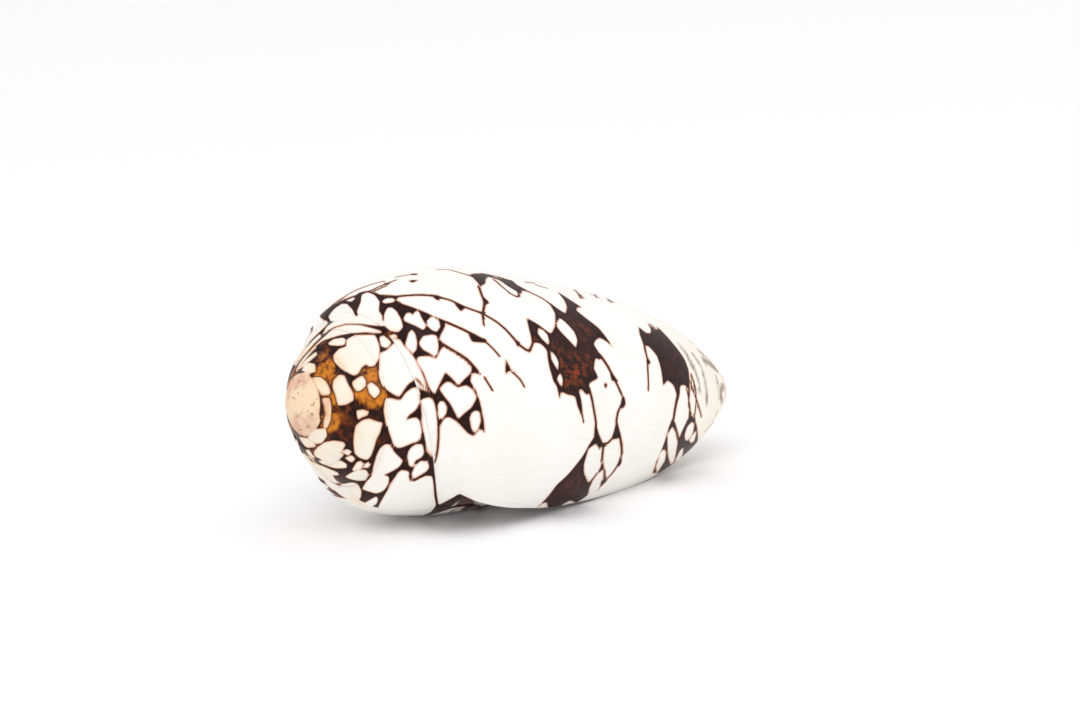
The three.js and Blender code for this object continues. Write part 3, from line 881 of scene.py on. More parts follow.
paleCells = {
    "notchSheet": [
        # the long cell across the suture
        [(836, 815), (855, 800), (882, 796), (904, 812), (917, 860), (925, 930), (926, 1010), (921, 1075),
         (910, 1128), (896, 1136), (878, 1090), (862, 1040), (850, 970), (842, 900)],
        # bands on the far side of the spire
        [(285, 462), (250, 496), (212, 540), (178, 582), (152, 618), (146, 612), (168, 572), (205, 522),
         (245, 478), (280, 446)],
        [(262, 520), (235, 545), (205, 578), (180, 612), (160, 645), (150, 655), (152, 636), (175, 598),
         (205, 560), (240, 524)],
        # the ring beside the cap
        [(300, 800), (330, 798), (343, 850), (340, 915), (322, 958), (302, 968), (300, 935), (312, 885),
         (308, 840)],
        [(222, 1150), (260, 1165), (310, 1195), (350, 1225), (370, 1255), (350, 1262), (310, 1243),
         (262, 1215), (232, 1185)],
    ],
    "spireSheet": [
        # first whorl
        [(135, 640), (160, 632), (195, 640), (198, 685), (160, 690), (125, 672)],
        [(188, 714), (226, 712), (256, 735), (276, 770), (281, 804), (256, 818), (228, 802), (204, 766)],
        [(155, 1050), (200, 1005), (255, 1000), (262, 1040), (235, 1080), (200, 1085), (170, 1070)],
        # second whorl
        [(300, 730), (330, 700), (360, 705), (385, 760), (410, 800), (412, 840), (370, 865), (325, 868),
         (312, 820), (295, 770)],
        [(205, 1110), (250, 1078), (300, 1068), (350, 1075), (365, 1092), (345, 1130), (300, 1160),
         (240, 1163), (215, 1140)],
        [(215, 1180), (280, 1176), (340, 1180), (372, 1200), (370, 1220), (310, 1222), (240, 1200)],
        [(175, 1175), (215, 1198), (280, 1228), (320, 1245), (330, 1260), (290, 1262), (225, 1240),
         (190, 1205)],
        [(345, 1130), (375, 1115), (400, 1130), (380, 1150)],
        [(365, 1165), (400, 1150), (420, 1170), (400, 1190)],
        [(100, 665), (150, 610), (200, 572), (207, 588), (160, 627), (118, 662)],
        # third whorl
        [(238, 470), (262, 430), (300, 402), (350, 380), (420, 370), (500, 372), (560, 388), (604, 412),
         (596, 426), (540, 424), (450, 412), (370, 412), (300, 432), (258, 462)],
        [(300, 590), (330, 555), (370, 540), (375, 502), (420, 478), (530, 478), (556, 540), (556, 600),
         (530, 648), (500, 652), (480, 640), (455, 660), (440, 690), (415, 702), (380, 688), (340, 662),
         (305, 625)],
        [(270, 522), (300, 500), (350, 492), (368, 502), (360, 530), (320, 536), (280, 532)],
        [(255, 480), (300, 440), (370, 420), (450, 422), (520, 440), (570, 455), (560, 466), (480, 460),
         (400, 466), (330, 478), (280, 494), (240, 508), (205, 535), (165, 580), (185, 545), (215, 515)],
        [(405, 740), (430, 720), (460, 705), (480, 730), (480, 760), (455, 785), (430, 790), (410, 765)],
        [(490, 760), (510, 740), (550, 770), (560, 800), (530, 830), (500, 800)],
        [(430, 900), (465, 895), (495, 905), (490, 925), (460, 935), (440, 948), (432, 930)],
        [(425, 985), (460, 955), (500, 945), (540, 960), (572, 970), (560, 1020), (540, 1060), (525, 1110),
         (510, 1150), (490, 1175), (450, 1165), (420, 1140), (412, 1080), (415, 1030)],
        [(405, 1230), (430, 1190), (455, 1182), (465, 1200), (455, 1225), (420, 1240)],
        [(472, 1202), (495, 1187), (505, 1200), (495, 1220), (475, 1220)],
        [(365, 1270), (400, 1247), (440, 1230), (480, 1232), (495, 1255), (480, 1290), (440, 1292),
         (400, 1285)],
        [(310, 1330), (350, 1312), (400, 1302), (435, 1310), (455, 1350), (450, 1390), (420, 1408),
         (390, 1400), (350, 1380), (312, 1352)],
        [(130, 1140), (170, 1180), (220, 1222), (290, 1267), (310, 1290), (295, 1298), (240, 1288),
         (190, 1250), (150, 1200)],
        [(165, 1248), (220, 1292), (270, 1322), (262, 1334), (215, 1310), (178, 1272)],
        # fourth whorl
        [(95, 600), (130, 530), (170, 470), (210, 420), (240, 395), (268, 410), (230, 450), (190, 490),
         (150, 540), (115, 590), (85, 650), (78, 640)],
        [(560, 580), (600, 560), (640, 520), (665, 515), (690, 540), (730, 590), (760, 650), (768, 700),
         (752, 728), (718, 750), (693, 785), (668, 820), (640, 810), (600, 783), (570, 750), (554, 700),
         (556, 640)],
        [(590, 835), (620, 830), (650, 838), (678, 838), (702, 803), (740, 773), (770, 770), (783, 800),
         (783, 850), (760, 895), (722, 925), (708, 950), (760, 938), (783, 960), (793, 1020), (778, 1068),
         (735, 1083), (690, 1103), (660, 1108), (636, 1088), (612, 1020), (592, 960), (582, 900)],
        [(560, 1112), (590, 1088), (615, 1092), (640, 1132), (686, 1180), (668, 1213), (620, 1243),
         (585, 1260), (610, 1272), (606, 1310), (580, 1348), (540, 1363), (500, 1353), (462, 1338),
         (482, 1300), (512, 1265), (527, 1200), (542, 1150)],
        [(450, 1430), (500, 1402), (540, 1380), (548, 1400), (538, 1423), (510, 1438), (480, 1443)],
        [(722, 1208), (714, 1150), (727, 1112), (765, 1087), (798, 1092), (806, 1130), (798, 1158),
         (760, 1178), (742, 1212)],
        [(742, 1286), (738, 1250), (762, 1202), (800, 1176), (828, 1192), (836, 1220), (810, 1248),
         (770, 1268)],
        [(545, 1455), (575, 1392), (618, 1322), (664, 1242), (700, 1230), (718, 1252), (728, 1298),
         (760, 1294), (810, 1266), (848, 1266), (858, 1300), (864, 1380), (872, 1430), (840, 1470),
         (760, 1493), (660, 1488), (600, 1473)],
        # last whorl
        [(272, 372), (302, 332), (345, 303), (375, 303), (403, 332), (422, 370), (400, 383), (340, 398),
         (285, 398)],
        [(432, 342), (452, 292), (458, 252), (490, 238), (528, 252), (557, 290), (553, 340), (572, 370),
         (567, 403), (520, 403), (450, 393), (437, 370)],
        [(585, 360), (600, 327), (625, 322), (655, 347), (678, 390), (687, 430), (663, 458), (620, 453),
         (592, 430), (582, 400)],
        [(572, 286), (595, 272), (628, 270), (648, 280), (630, 293), (600, 298), (580, 297)],
        [(370, 285), (408, 267), (422, 270), (400, 288)],
        [(692, 382), (710, 353), (732, 352), (742, 364), (760, 343), (778, 348), (798, 390), (818, 428),
         (800, 446), (760, 424), (702, 400)],
        [(822, 400), (842, 378), (865, 378), (892, 402), (897, 430), (878, 456), (852, 448), (827, 425)],
        [(710, 500), (722, 463), (740, 448), (757, 472), (767, 520), (762, 558), (745, 577), (722, 558),
         (702, 530)],
        [(783, 512), (803, 483), (850, 474), (877, 484), (887, 540), (882, 578), (865, 596), (840, 578),
         (803, 558), (783, 532)],
        [(557, 490), (580, 480), (608, 502), (622, 520), (600, 547), (567, 538)],
        [(610, 482), (640, 472), (658, 485), (630, 499)],
        [(884, 870), (897, 848), (918, 850), (935, 880), (928, 920), (905, 947), (888, 938)],
    ],
    "shoulderSheet": [
        [(278, 800), (302, 782), (380, 774), (428, 793), (455, 745), (482, 704), (532, 730), (612, 780),
         (668, 822), (700, 866), (688, 908), (648, 945), (600, 990), (562, 955), (502, 896), (478, 940),
         (450, 1000), (422, 1058), (400, 1046), (372, 1000), (332, 900), (292, 830)],
        [(460, 1022), (502, 974), (540, 974), (595, 1015), (658, 996), (705, 1024), (740, 1080), (730, 1118),
         (697, 1166), (648, 1204), (600, 1248), (573, 1200), (534, 1130), (484, 1072)],
        [(683, 1250), (703, 1204), (735, 1190), (761, 1204), (766, 1270), (751, 1328), (720, 1359),
         (698, 1328)],
    ],
    "frontSheet": [
        [(1015, 1052), (1040, 1010), (1058, 1040), (1072, 1100), (1062, 1160), (1045, 1226), (1030, 1234),
         (1017, 1180), (1012, 1110)],
        [(942, 1250), (965, 1172), (990, 1145), (1002, 1160), (997, 1210), (970, 1252), (948, 1288)],
        [(1117, 1052), (1132, 1004), (1158, 980), (1171, 992), (1166, 1040), (1148, 1076), (1127, 1094),
         (1116, 1080)],
        [(1143, 1088), (1166, 1052), (1180, 1030), (1184, 1050), (1172, 1092), (1157, 1106)],
        [(1058, 1212), (1083, 1156), (1106, 1136), (1100, 1180), (1076, 1218), (1054, 1246)],
    ],
}

# Amber on the first sheet: (across, down, radius in millimetres, strength)
amberSpots = [
    (255, 680, 3.2, 1.0),
    (232, 590, 2.0, 0.8),
    (268, 850, 2.4, 1.0),
    (275, 960, 2.6, 1.0),
    (130, 1075, 1.8, 0.7),
    (355, 900, 2.6, 0.62),
    (360, 1010, 3.0, 0.58),
    (500, 690, 2.6, 0.9),
    (470, 790, 2.6, 1.0),
    (530, 820, 3.0, 1.0),
    (500, 880, 2.4, 0.62),
    (560, 900, 2.2, 0.5),
    (630, 485, 1.8, 0.8),
    (540, 450, 1.6, 0.5),
    (610, 800, 2.0, 0.3),
    (575, 1050, 1.8, 0.4),
    (330, 1150, 1.8, 0.45),
]

amberRepeats = [(0.0, 1.0), (150.0, 0.8), (-130.0, 0.8)]

# Rust in the brown blotches
rustSpots = [
    (610, 640, 2.8, 0.9),
    (545, 590, 2.0, 0.8),
    (690, 600, 1.4, 0.9),
    (560, 735, 1.8, 0.9),
    (395, 470, 1.2, 0.9),
    (650, 430, 2.2, 0.3),
    (600, 1280, 2.2, 0.25),
    (500, 520, 1.4, 0.4),
]
rustRepeats = [(0.0, 1.0), (92.0, 0.9), (185.0, 1.0), (255.0, 0.8)]

# The part of each covered whorl that is drawn, and the part behind that repeats it, in degrees of growth
spireWhorls = [
    {"drawn": (-560.0, -342.0), "behind": (-705.0, -560.0)},
    {"drawn": (-945.0, -705.0), "behind": (-1065.0, -945.0)},
    {"drawn": (-1310.0, -1065.0), "behind": (-1425.0, -1310.0)},
]

# How brushes draw: sizes in millimetres, the outward slope that tells a line's sides apart, how far
# round and along the skin places are looked for, and the least length of a run
brushSizes = {
    "reach": 1.5,
    "thinnestLine": 0.34,
    "lineShare": 0.9,
    "lineHalf": 0.2,
    "outwardSlope": 0.7,
    "spareTurning": 57.0,
    "spareShare": 0.14,
    "leastRun": 1e-12,
}


# Draws marks as a field: millimetres to the nearest edge, below 0 in the dark.
# Across is how far a place lies to one side of the nearest line, which keeps thin lines whole.
# Places are where distances are measured, and keys are each place's growth and share.
class MarkBrush:
    def __init__(self, places, keys, spare, marks, across):
        self.places = places
        self.keys = keys
        self.spare = np.array(spare)
        self.marks = marks
        self.across = across

    def placeOf(self, path):
        x, y, z = skinPoint(shellSizes, path[:, 0] / 360.0, path[:, 1])
        return np.stack([x, y, z], axis=1)

    def near(self, path):
        low = path.min(axis=0) - self.spare
        high = path.max(axis=0) + self.spare
        return np.nonzero(((self.keys > low) & (self.keys < high)).all(axis=1))[0]

    # Above 0 on one side of a run along the skin and below 0 on the other
    def sideOf(self, places, away, run):
        outward = places.copy()
        outward[:, 2] = np.hypot(places[:, 0], places[:, 1]) * brushSizes["outwardSlope"]
        return (np.cross(run, away) * outward).sum(axis=1)

    # Distance on the skin to a path, how far along it the nearest point is, and on which side
    def distanceTo(self, path, chosen):
        corners = self.placeOf(path)
        best = np.full(len(chosen), np.inf)
        along = np.zeros(len(chosen))
        side = np.ones(len(chosen))
        places = self.places[chosen]
        for i in range(len(corners) - 1):
            run = corners[i + 1] - corners[i]
            length = max(float(run @ run), brushSizes["leastRun"])
            share = np.clip(((places - corners[i]) @ run) / length, 0.0, 1.0)
            gap = np.linalg.norm(places - corners[i] - share[:, None] * run, axis=1)
            closer = gap < best
            best[closer] = gap[closer]
            along[closer] = (i + share[closer]) / (len(corners) - 1)
            away = places[closer] - corners[i]
            side[closer] = np.where(self.sideOf(places[closer], away, run) < 0.0, -1.0, 1.0)
        return best, along, side

    def isInside(self, path, chosen):
        growth = self.keys[chosen, 0]
        share = self.keys[chosen, 1]
        inside = np.zeros(len(chosen), dtype=bool)
        for (g0, s0), (g1, s1) in zip(path[:-1], path[1:]):
            if g0 != g1:
                crosses = (g0 > growth) != (g1 > growth)
                inside ^= crosses & (share < (s1 - s0) * (growth - g0) / (g1 - g0) + s0)
        return inside

    def signedDistance(self, shape):
        path = roundedPath(shape, True)
        chosen = self.near(path)
        gap = self.distanceTo(path, chosen)[0]
        return chosen, np.where(self.isInside(path, chosen), gap, -gap)

    def darken(self, shape):
        chosen, inside = self.signedDistance(shape)
        self.marks[chosen] = np.minimum(self.marks[chosen], -inside)

    def lighten(self, shape):
        chosen, inside = self.signedDistance(shape)
        self.marks[chosen] = np.maximum(self.marks[chosen], inside)
        self.across[chosen[inside > 0.0]] = brushSizes["reach"]

    def line(self, startWidth, endWidth, points):
        path = roundedPath(points, False)
        chosen = self.near(path)
        gap, along, side = self.distanceTo(path, chosen)
        width = between(startWidth, endWidth, along) * brushSizes["lineShare"]
        halfWidth = np.maximum(width, brushSizes["thinnestLine"]) / 2.0
        self.marks[chosen] = np.minimum(self.marks[chosen], gap - halfWidth)
        across = side * gap * brushSizes["lineHalf"] / halfWidth
        closer = abs(across) < abs(self.across[chosen])
        self.across[chosen[closer]] = across[closer]


# The same brush on what the photograph's view sees, in millimetres across and down that view
class ViewBrush(MarkBrush):
    def placeOf(self, path):
        return path

    def sideOf(self, places, away, run):
        return run[0] * away[:, 1] - run[1] * away[:, 0]

    def distanceTo(self, path, chosen):
        best, along, side = super().distanceTo(path, chosen)
        return best / self.facing[chosen], along, side


# A path through the points with its bends rounded a little, as a brush would
def roundedPath(points, closed, pieces=4, tension=0.22):
    given = np.array(points, dtype=float)
    count = len(given)
    path = []
    spans = count if closed else count - 1
    for i in range(spans):
        here = given[i]
        there = given[(i + 1) % count]
        before = given[i - 1] if closed or i > 0 else here
        after = given[(i + 2) % count] if closed or i + 2 < count else there
        for step in range(pieces):
            t = step / pieces
            startPull = (there - before) * tension
            endPull = (after - here) * tension
            path.append((2 * t ** 3 - 3 * t ** 2 + 1) * here + (t ** 3 - 2 * t ** 2 + t) * startPull
                        + (3 * t ** 2 - 2 * t ** 3) * there + (t ** 3 - t ** 2) * endPull)
    path.append(given[0] if closed else given[-1])
    return np.array(path)


# The same kinds of marks on the sides that face away: moved and unsettled copies
farGroups = [
    {"growth": -140.0, "share": 0.02, "where": "wall", "from": -277.0, "to": -140.0},
    {"growth": -226.0, "share": -0.015, "where": "wall", "from": -352.0, "to": -277.0},
    {"growth": -152.0, "share": 0.0, "where": "shoulder", "from": -340.0, "to": -200.0},
]
farUnsettled = {"growth": 0.9, "share": 0.008, "overrun": 12.0, "seed": 7}

# How a place of the view is found: the metres behind which it is hidden, a place out of reach,
# the shell's middle in the view, how fast a point beside the shell moves in, the degrees that
# tell whorls apart, and the least gap to a corner
finderRules = {
    "hiddenBehind": 0.0004,
    "farAway": 1e6,
    "shellMiddle": (505.0, 392.0),
    "lineMove": 0.01,
    "shapeMove": 0.04,
    "otherWhorl": 200.0,
    "leastGap": 1e-7,
}
farAway = finderRules["farAway"]
whorlStep = 360.0 - shellSizes["sutureAhead"]


# Finds where a point of the photograph's view lies on the skin
class SkinFinder:
    def __init__(self, mesh, turns, shares, placed):
        points = [vertex.co for vertex in mesh.vertices]
        self.tree = BVHTree.FromPolygons(points, [face.vertices for face in mesh.polygons])
        self.mesh = mesh
        self.turns = turns
        self.shares = shares
        self.placed = placed.inverted()
        self.eye, self.right, self.top, self.back = cameraAxes(cameraView)

    def look(self, across, down):
        view = cameraView
        scale = view["sensorWidth"] / view["imageWidth"] / view["lens"]
        ray = ((across / viewScale - view["imageWidth"] / 2.0) * scale * self.right
               + (view["imageHeight"] / 2.0 - down / viewScale) * scale * self.top - self.back)
        place, index = self.tree.ray_cast(self.eye, ray.normalized())[::2]
        if place is None:
            return None
        face = self.mesh.polygons[index]
        weights = []
        for corner in face.vertices:
            gap = (self.mesh.vertices[corner].co - place).length
            weights.append(1.0 / (gap + finderRules["leastGap"]))
        whole = sum(weights)
        turn = sum(w * self.turns[c] for w, c in zip(weights, face.loop_indices)) / whole
        share = sum(w * self.shares[c] for w, c in zip(weights, face.loop_indices)) / whole
        return turn * 360.0, share, self.placed @ place

    # Where the view sees each place of the scene, and far away for the places it doesn't see
    def seen(self, places):
        view = cameraView
        away = places - np.array(self.eye)
        reach = view["imageWidth"] * view["lens"] / view["sensorWidth"] / -(away @ np.array(self.back))
        across = view["imageWidth"] / 2.0 + away @ np.array(self.right) * reach
        down = view["imageHeight"] / 2.0 - away @ np.array(self.top) * reach
        seen = np.stack([across, down], axis=1) * viewScale
        for i, place in enumerate(places):
            ray = Vector(place) - self.eye
            distance = self.tree.ray_cast(self.eye, ray.normalized())[3]
            if distance is None or distance < ray.length - finderRules["hiddenBehind"]:
                seen[i] = farAway
        return seen

    # Points of the view in growth and share, all on the whorl where most of them lie.
    # Points beside the shell are moved towards the middle until they are on it.
    def trace(self, outline, what):
        middle = Vector((sum(p[0] for p in outline), sum(p[1] for p in outline))) / len(outline)
        move = finderRules["shapeMove"]
        if what == "line":
            middle = Vector(finderRules["shellMiddle"]) * viewScale
            move = finderRules["lineMove"]
        found = []
        for corner in outline:
            hit = None
            drawnIn = 0.0
            while hit is None and drawnIn < 1.0:
                spot = Vector(corner).lerp(middle, drawnIn)
                hit = self.look(spot.x, spot.y)
                drawnIn += move
            if hit is not None:
                found.append(hit[:2])
        if len(found) < 2:
            return None
        growths = sorted(point[0] for point in found)
        usual = growths[len(growths) // 2]
        kept = []
        for growth, share in found:
            if growth - usual > finderRules["otherWhorl"]:
                growth, share = growth - whorlStep, 1.0
            elif growth - usual < -finderRules["otherWhorl"]:
                growth, share = growth + whorlStep, 0.0
            kept.append((growth, share))
        return kept


def fromSheet(sheet, points):
    look = drawingSheets[sheet]
    return [((look["corner"][0] + x / look["enlarged"]) * viewScale,
             (look["corner"][1] + y / look["enlarged"]) * viewScale) for x, y in points]


def fromSheets(what, sheets, finder):
    marks = []
    for sheet, entries in sheets.items():
        brush = drawingSheets[sheet]["brush"]
        for entry in entries:
            widths, points = (entry[:2], entry[2]) if what == "line" else ((), entry)
            points = fromSheet(sheet, points)
            if brush == "skin":
                points = finder.trace(points, what)
            if points is not None:
                marks.append((brush, what, widths, points))
    return marks


def farCopy(points, moved, raised, chance):
    copied = []
    for growth, share in points:
        copied.append((growth + moved + chance.uniform(-1.0, 1.0) * farUnsettled["growth"],
                       share + raised + chance.uniform(-1.0, 1.0) * farUnsettled["share"]))
    return copied


# All the marks in the order they are drawn: the brush, what to do, widths if it is a line, and points
def listMarks(finder):
    marks = [("skin", "darken", (), shape) for shape in darkShapes.values()]
    marks += fromSheets("darken", netGround, finder)
    marks += [("skin", "line", entry[:2], entry[2]) for entry in darkLines]
    marks += fromSheets("line", sheetLines, finder)
    marks += [("skin", "lighten", (), shape) for shape in paleShapes.values()]
    marks += fromSheets("lighten", paleCells, finder)
    return marks


def listFarMarks(marks, finder, chance):
    onSkin = []
    for brush, what, widths, points in marks:
        points = finder.trace(points, what) if brush == "view" else points
        if points is not None:
            onSkin.append((what, widths, points))
    copies = []
    for whorl in spireWhorls:
        low, high = whorl["drawn"]
        behindLow, behindHigh = whorl["behind"]
        for what, widths, points in onSkin:
            middle = sum(p[0] for p in points) / len(points)
            if high - (behindHigh - behindLow) < middle < high and what == "lighten":
                copied = farCopy(points, behindHigh - high, 0.0, chance)
                copies.append(("skin", what, widths, copied))
    for group in farGroups:
        for what, widths, points in onSkin:
            onWall = min(p[1] for p in points) > 1.0
            onLastWhorl = min(p[0] for p in points) > -whorlStep
            if onLastWhorl and onWall == (group["where"] == "wall"):
                copied = farCopy(points, group["growth"], group["share"], chance)
                middle = sum(p[0] for p in copied) / len(copied)
                end = max(p[0] for p in copied)
                if group["from"] < middle < group["to"] and end < group["to"] + farUnsettled["overrun"]:
                    copies.append(("skin", what, widths, copied))
    order = {"darken": 0, "line": 1, "lighten": 2}
    return sorted(copies, key=lambda mark: order[mark[1]])


# Millimetres from the axis to the edge of the worn cap
wornRadius = 4.65


def paintMarks(brushes, finder, axisRadius):
    # the covered whorls are dark all over, and the pale cells lie on that
    skin = brushes["skin"]
    onSpire = (skin.keys[:, 0] < spireWhorls[0]["drawn"][1]) & (abs(skin.keys[:, 1]) <= 1.0)
    skin.marks[onSpire | (skin.keys[:, 0] == farAway)] = -brushSizes["reach"]
    marks = listMarks(finder)
    farMarks = listFarMarks(marks, finder, random.Random(farUnsettled["seed"]))
    for brush, what, widths, points in farMarks + marks:
        getattr(brushes[brush], what)(*widths, points)
    # the worn cap
    skin.marks[:] = np.maximum(skin.marks, wornRadius - axisRadius)
    skin.across[axisRadius < wornRadius] = brushSizes["reach"]


def paintSmudges(brushes, finder):
    for brush, what, widths, points in fromSheets("line", sheetSmudges, finder):
        for moved in smudgeCopies:
            copied = [(growth + moved, share) for growth, share in points]
            getattr(brushes[brush], what)(*widths, copied)


def makeBrushes(places, keys, seen, facing):
    reach = brushSizes["reach"]
    marks = np.full(len(places), reach)
    across = np.full(len(places), reach)
    spareGrowth = reach / shellSizes["sutureRadius"] * brushSizes["spareTurning"]
    skin = MarkBrush(places, keys, (spareGrowth, brushSizes["spareShare"]), marks, across)
    view = ViewBrush(seen, seen, (reach, reach), marks, across)
    view.facing = facing
    return {"skin": skin, "view": view}


# Patches are full to half their radius and fade out a little past it
patchFullness = 1.25


# Soft round patches: (across, down, radius in millimetres, strength), repeated further round the shell
def spotsOn(places, finder, sheet, spots, repeats):
    share = np.zeros(len(places))
    for across, down, radius, strength in spots:
        hit = finder.look(*fromSheet(sheet, [(across, down)])[0])
        if hit is None:
            continue
        for turned, kept in repeats:
            spot = Matrix.Rotation(math.radians(turned), 3, "Z") @ hit[2]
            away = np.linalg.norm(places - np.array(spot), axis=1) / radius
            share = np.maximum(share, strength * kept * np.clip(patchFullness - away * away, 0.0, 1.0))
    return share


# How corners are told apart, and the millimetres that growth places are measured in
cornerRules = {
    "shoulderEnd": (0.9999, 1.0001),
    "turnsApart": 0.5,
    "capEnd": 0.999,
    "leastFacing": 0.15,
    "shoulderWidth": 14.0,
    "wallWidth": 50.0,
    "usualRadius": 20.0,
}


# Corners know their own side of a suture, so marks and colours don't run across it
def readCorners(mesh):
    point = readAll(mesh.loops, "vertex_index", kind=np.int32)
    totals = readAll(mesh.polygons, "loop_total", kind=np.int32)
    slots = readAll(mesh.polygons, "material_index", kind=np.int32)
    faceTurn = np.repeat(readField(mesh, "faceTurn"), totals)
    turn = readField(mesh, "turn")[point].astype(float)
    share = readField(mesh, "share")[point].astype(float)
    capShare = readField(mesh, "capShare")[point].astype(float)
    low, high = cornerRules["shoulderEnd"]
    nextWhorl = (share > low) & (share < high) & (faceTurn - turn > cornerRules["turnsApart"])
    return {
        "point": point,
        "isHollow": np.repeat(slots, totals) > 0,
        "isCap": capShare < cornerRules["capEnd"],
        "nextWhorl": nextWhorl,
        "turn": np.where(nextWhorl, turn + 1.0 - sutureShift / stepsPerTurn, turn),
        "share": np.where(nextWhorl, 0.0, share),
    }


def dressCorners(mesh, placed):
    corners = readCorners(mesh)
    worldPlaces = readAll(mesh.vertices, "co", 3)
    back = np.array(placed.inverted())
    places = worldPlaces @ back[:3, :3].T + back[:3, 3]
    axisRadius = np.hypot(places[:, 0], places[:, 1])
    finder = SkinFinder(mesh, corners["turn"], corners["share"], placed)
    # corners that share a point, a whorl and a side of the wall are drawn once
    sides = corners["point"] * 4 + corners["nextWhorl"] + 2 * corners["isHollow"]
    first, again = np.unique(sides, return_index=True, return_inverse=True)[1:]
    chosen = {name: values[first] for name, values in corners.items()}
    onCap = chosen["isCap"] & ~chosen["isHollow"]
    growth = np.where(onCap, farAway, chosen["turn"] * 360.0)
    keys = np.stack([growth, chosen["share"]], axis=1)
    keys[chosen["isHollow"]] = -farAway
    drawnPlaces = places[chosen["point"]]
    seen = finder.seen(worldPlaces[chosen["point"]])
    normals = readAll(mesh.vertex_normals, "vector", 3)
    facing = np.clip(normals @ np.array(finder.back), cornerRules["leastFacing"], 1.0)[chosen["point"]]
    markBrushes = makeBrushes(drawnPlaces, keys, seen, facing)
    paintMarks(markBrushes, finder, axisRadius[chosen["point"]])
    smudgeBrushes = makeBrushes(drawnPlaces, keys, seen, facing)
    paintSmudges(smudgeBrushes, finder)
    drawn = {
        "mark": markBrushes["skin"].marks,
        "across": markBrushes["skin"].across,
        "smudge": smudgeBrushes["skin"].marks,
        "amber": spotsOn(drawnPlaces, finder, "spireSheet", amberSpots, amberRepeats),
        "rust": spotsOn(drawnPlaces, finder, "rightSheet", rustSpots, rustRepeats),
    }
    for name, values in drawn.items():
        keepField(mesh, name, values[again], "CORNER")
    share = corners["share"]
    along = cornerRules["shoulderWidth"] * np.minimum(share, 1.0)
    along += cornerRules["wallWidth"] * np.maximum(share - 1.0, 0.0)
    around = corners["turn"] * 2.0 * math.pi * cornerRules["usualRadius"]
    keepField(mesh, "growthPlace", np.stack([around, along, np.zeros_like(along)], axis=1),
              "CORNER", "FLOAT_VECTOR")
    keepField(mesh, "profile", share, "CORNER")
    keepField(mesh, "axisDepth", -places[:, 2])
    keepField(mesh, "axisRadius", axisRadius)
    print("marks drawn on", len(mesh.polygons), "faces")


# sRGB values from 0 to 255 as the shader's linear ones
def paint(*values):
    return tuple((v / 255.0 / 12.92) if v <= 10 else ((v / 255.0 + 0.055) / 1.055) ** 2.4 for v in values)


skinLook = {
    "white": paint(250, 247, 243),
    "shade": paint(245, 240, 233),
    "darkLine": paint(28, 8, 5),
    "brown": paint(54, 21, 15),
    "redBrown": paint(98, 38, 18),
    "rust": paint(150, 64, 22),
    "edgeBrown": paint(104, 46, 26),
    "fringe": paint(216, 138, 88),
    "amber": paint(212, 128, 36),
    "deepAmber": paint(104, 46, 10),
    "amberStain": paint(240, 196, 130),
    "spireCream": paint(238, 222, 198),
    "cream": paint(247, 236, 220),
    "smudge": paint(104, 58, 18),
    "capPink": paint(222, 172, 146),
    "capCream": paint(239, 212, 176),
    # painted shade: the colour that darkens the pits of the worn cap
    "capPitShade": paint(140, 92, 72),
    "roughness": 0.34,
    "specular": 0.12,
    "coat": 0.05,
    "coatRoughness": 0.15,
    "refraction": 1.5,
    "edgeSoftness": 0.08,
    "edgeWobble": 0.08,
    "markSpread": -0.03,
    "brightFrom": 0.8,
    "brightGain": 0.6,
    "patchGain": 3.0,
    "smudgeGain": 2.2,
    "roughClouds": 0.16,
    "roughDark": 0.04,
    "roughWorn": 0.2,
    "growthLineHeight": 0.00004,
    "pitHeight": 0.00012,
    "grooveDepth": 0.0002,
    "bumpStrength": 0.5,
}

# Noise over the shell: how fine, how detailed, how rough
skinNoise = {
    "clouds": (90.0, 3.0, 0.5),
    "wobble": (900.0, 2.0, 0.6),
    "mottle": (650.0, 4.0, 0.65),
    "speckle": (1300.0, 3.0, 0.7),
    "amberPatches": (420.0, 4.0, 0.7),
    "capClouds": (260.0, 3.0, 0.6),
    "pits": (1500.0, 1.0, 0.5),
}
noiseMiddle = 0.5

# Streaks along the growth lines: how fine around and along, how detailed, how rough
skinStreaks = {
    "streaks": ((2.2, 0.16, 0.0), 4.0, 0.6),
    "fineStreaks": ((6.5, 0.25, 0.0), 3.0, 0.55),
}

# How much of each noise a look takes
skinMixes = {
    "tint": {"streaks": 0.6, "clouds": 0.5},
    "brown": {"mottle": 1.0, "speckle": 0.4},
    "rust": {"streaks": 0.3, "mottle": 0.5, "speckle": 0.35},
    "bright": {"amberPatches": 0.7, "speckle": 0.4},
    "height": {"streaks": 0.6, "fineStreaks": 0.4},
}

# Where each look starts and where it is full. The last three are millimetres from the cap's edge.
skinSteps = {
    "tint": (0.42, 0.78),
    "frontCream": (1.55, 1.9),
    "spireCream": (13.0, 4.0),
    "amberStain": (0.35, 0.65),
    "nearLine": (0.3, 0.15),
    "fringe": (0.34, 0.02),
    "inner": (-0.2, -0.7),
    "brown": (0.5, 0.85),
    "rust": (0.52, 0.68),
    "specks": (0.62, 0.72),
    "edgeBrown": (-0.24, -0.02),
    "bright": (0.48, 0.76),
    "brightAmber": (0.3, 0.95),
    "amberPatches": (0.45, 0.95),
    "amberInside": (-0.05, -0.35),
    "smudge": (0.7, -0.5),
    "capPink": (0.42, 0.6),
    "pits": (0.62, 0.72),
    "worn": (0.1, -0.15),
    "grooveInside": (-0.05, 0.2),
    "grooveOutside": (0.7, 0.3),
}

# How strongly each look shows
skinShares = {
    "frontCream": 0.85,
    "spireCream": 0.35,
    "spireMottle": 0.5,
    "amberStain": 0.5,
    "fringe": 0.62,
    "rust": 0.7,
    "specks": 0.35,
    "edgeBrown": 0.6,
    "smudge": 0.8,
    # how strongly painted shade darkens the cap's pits
    "pits": 0.6,
    "worn": 0.9,
}


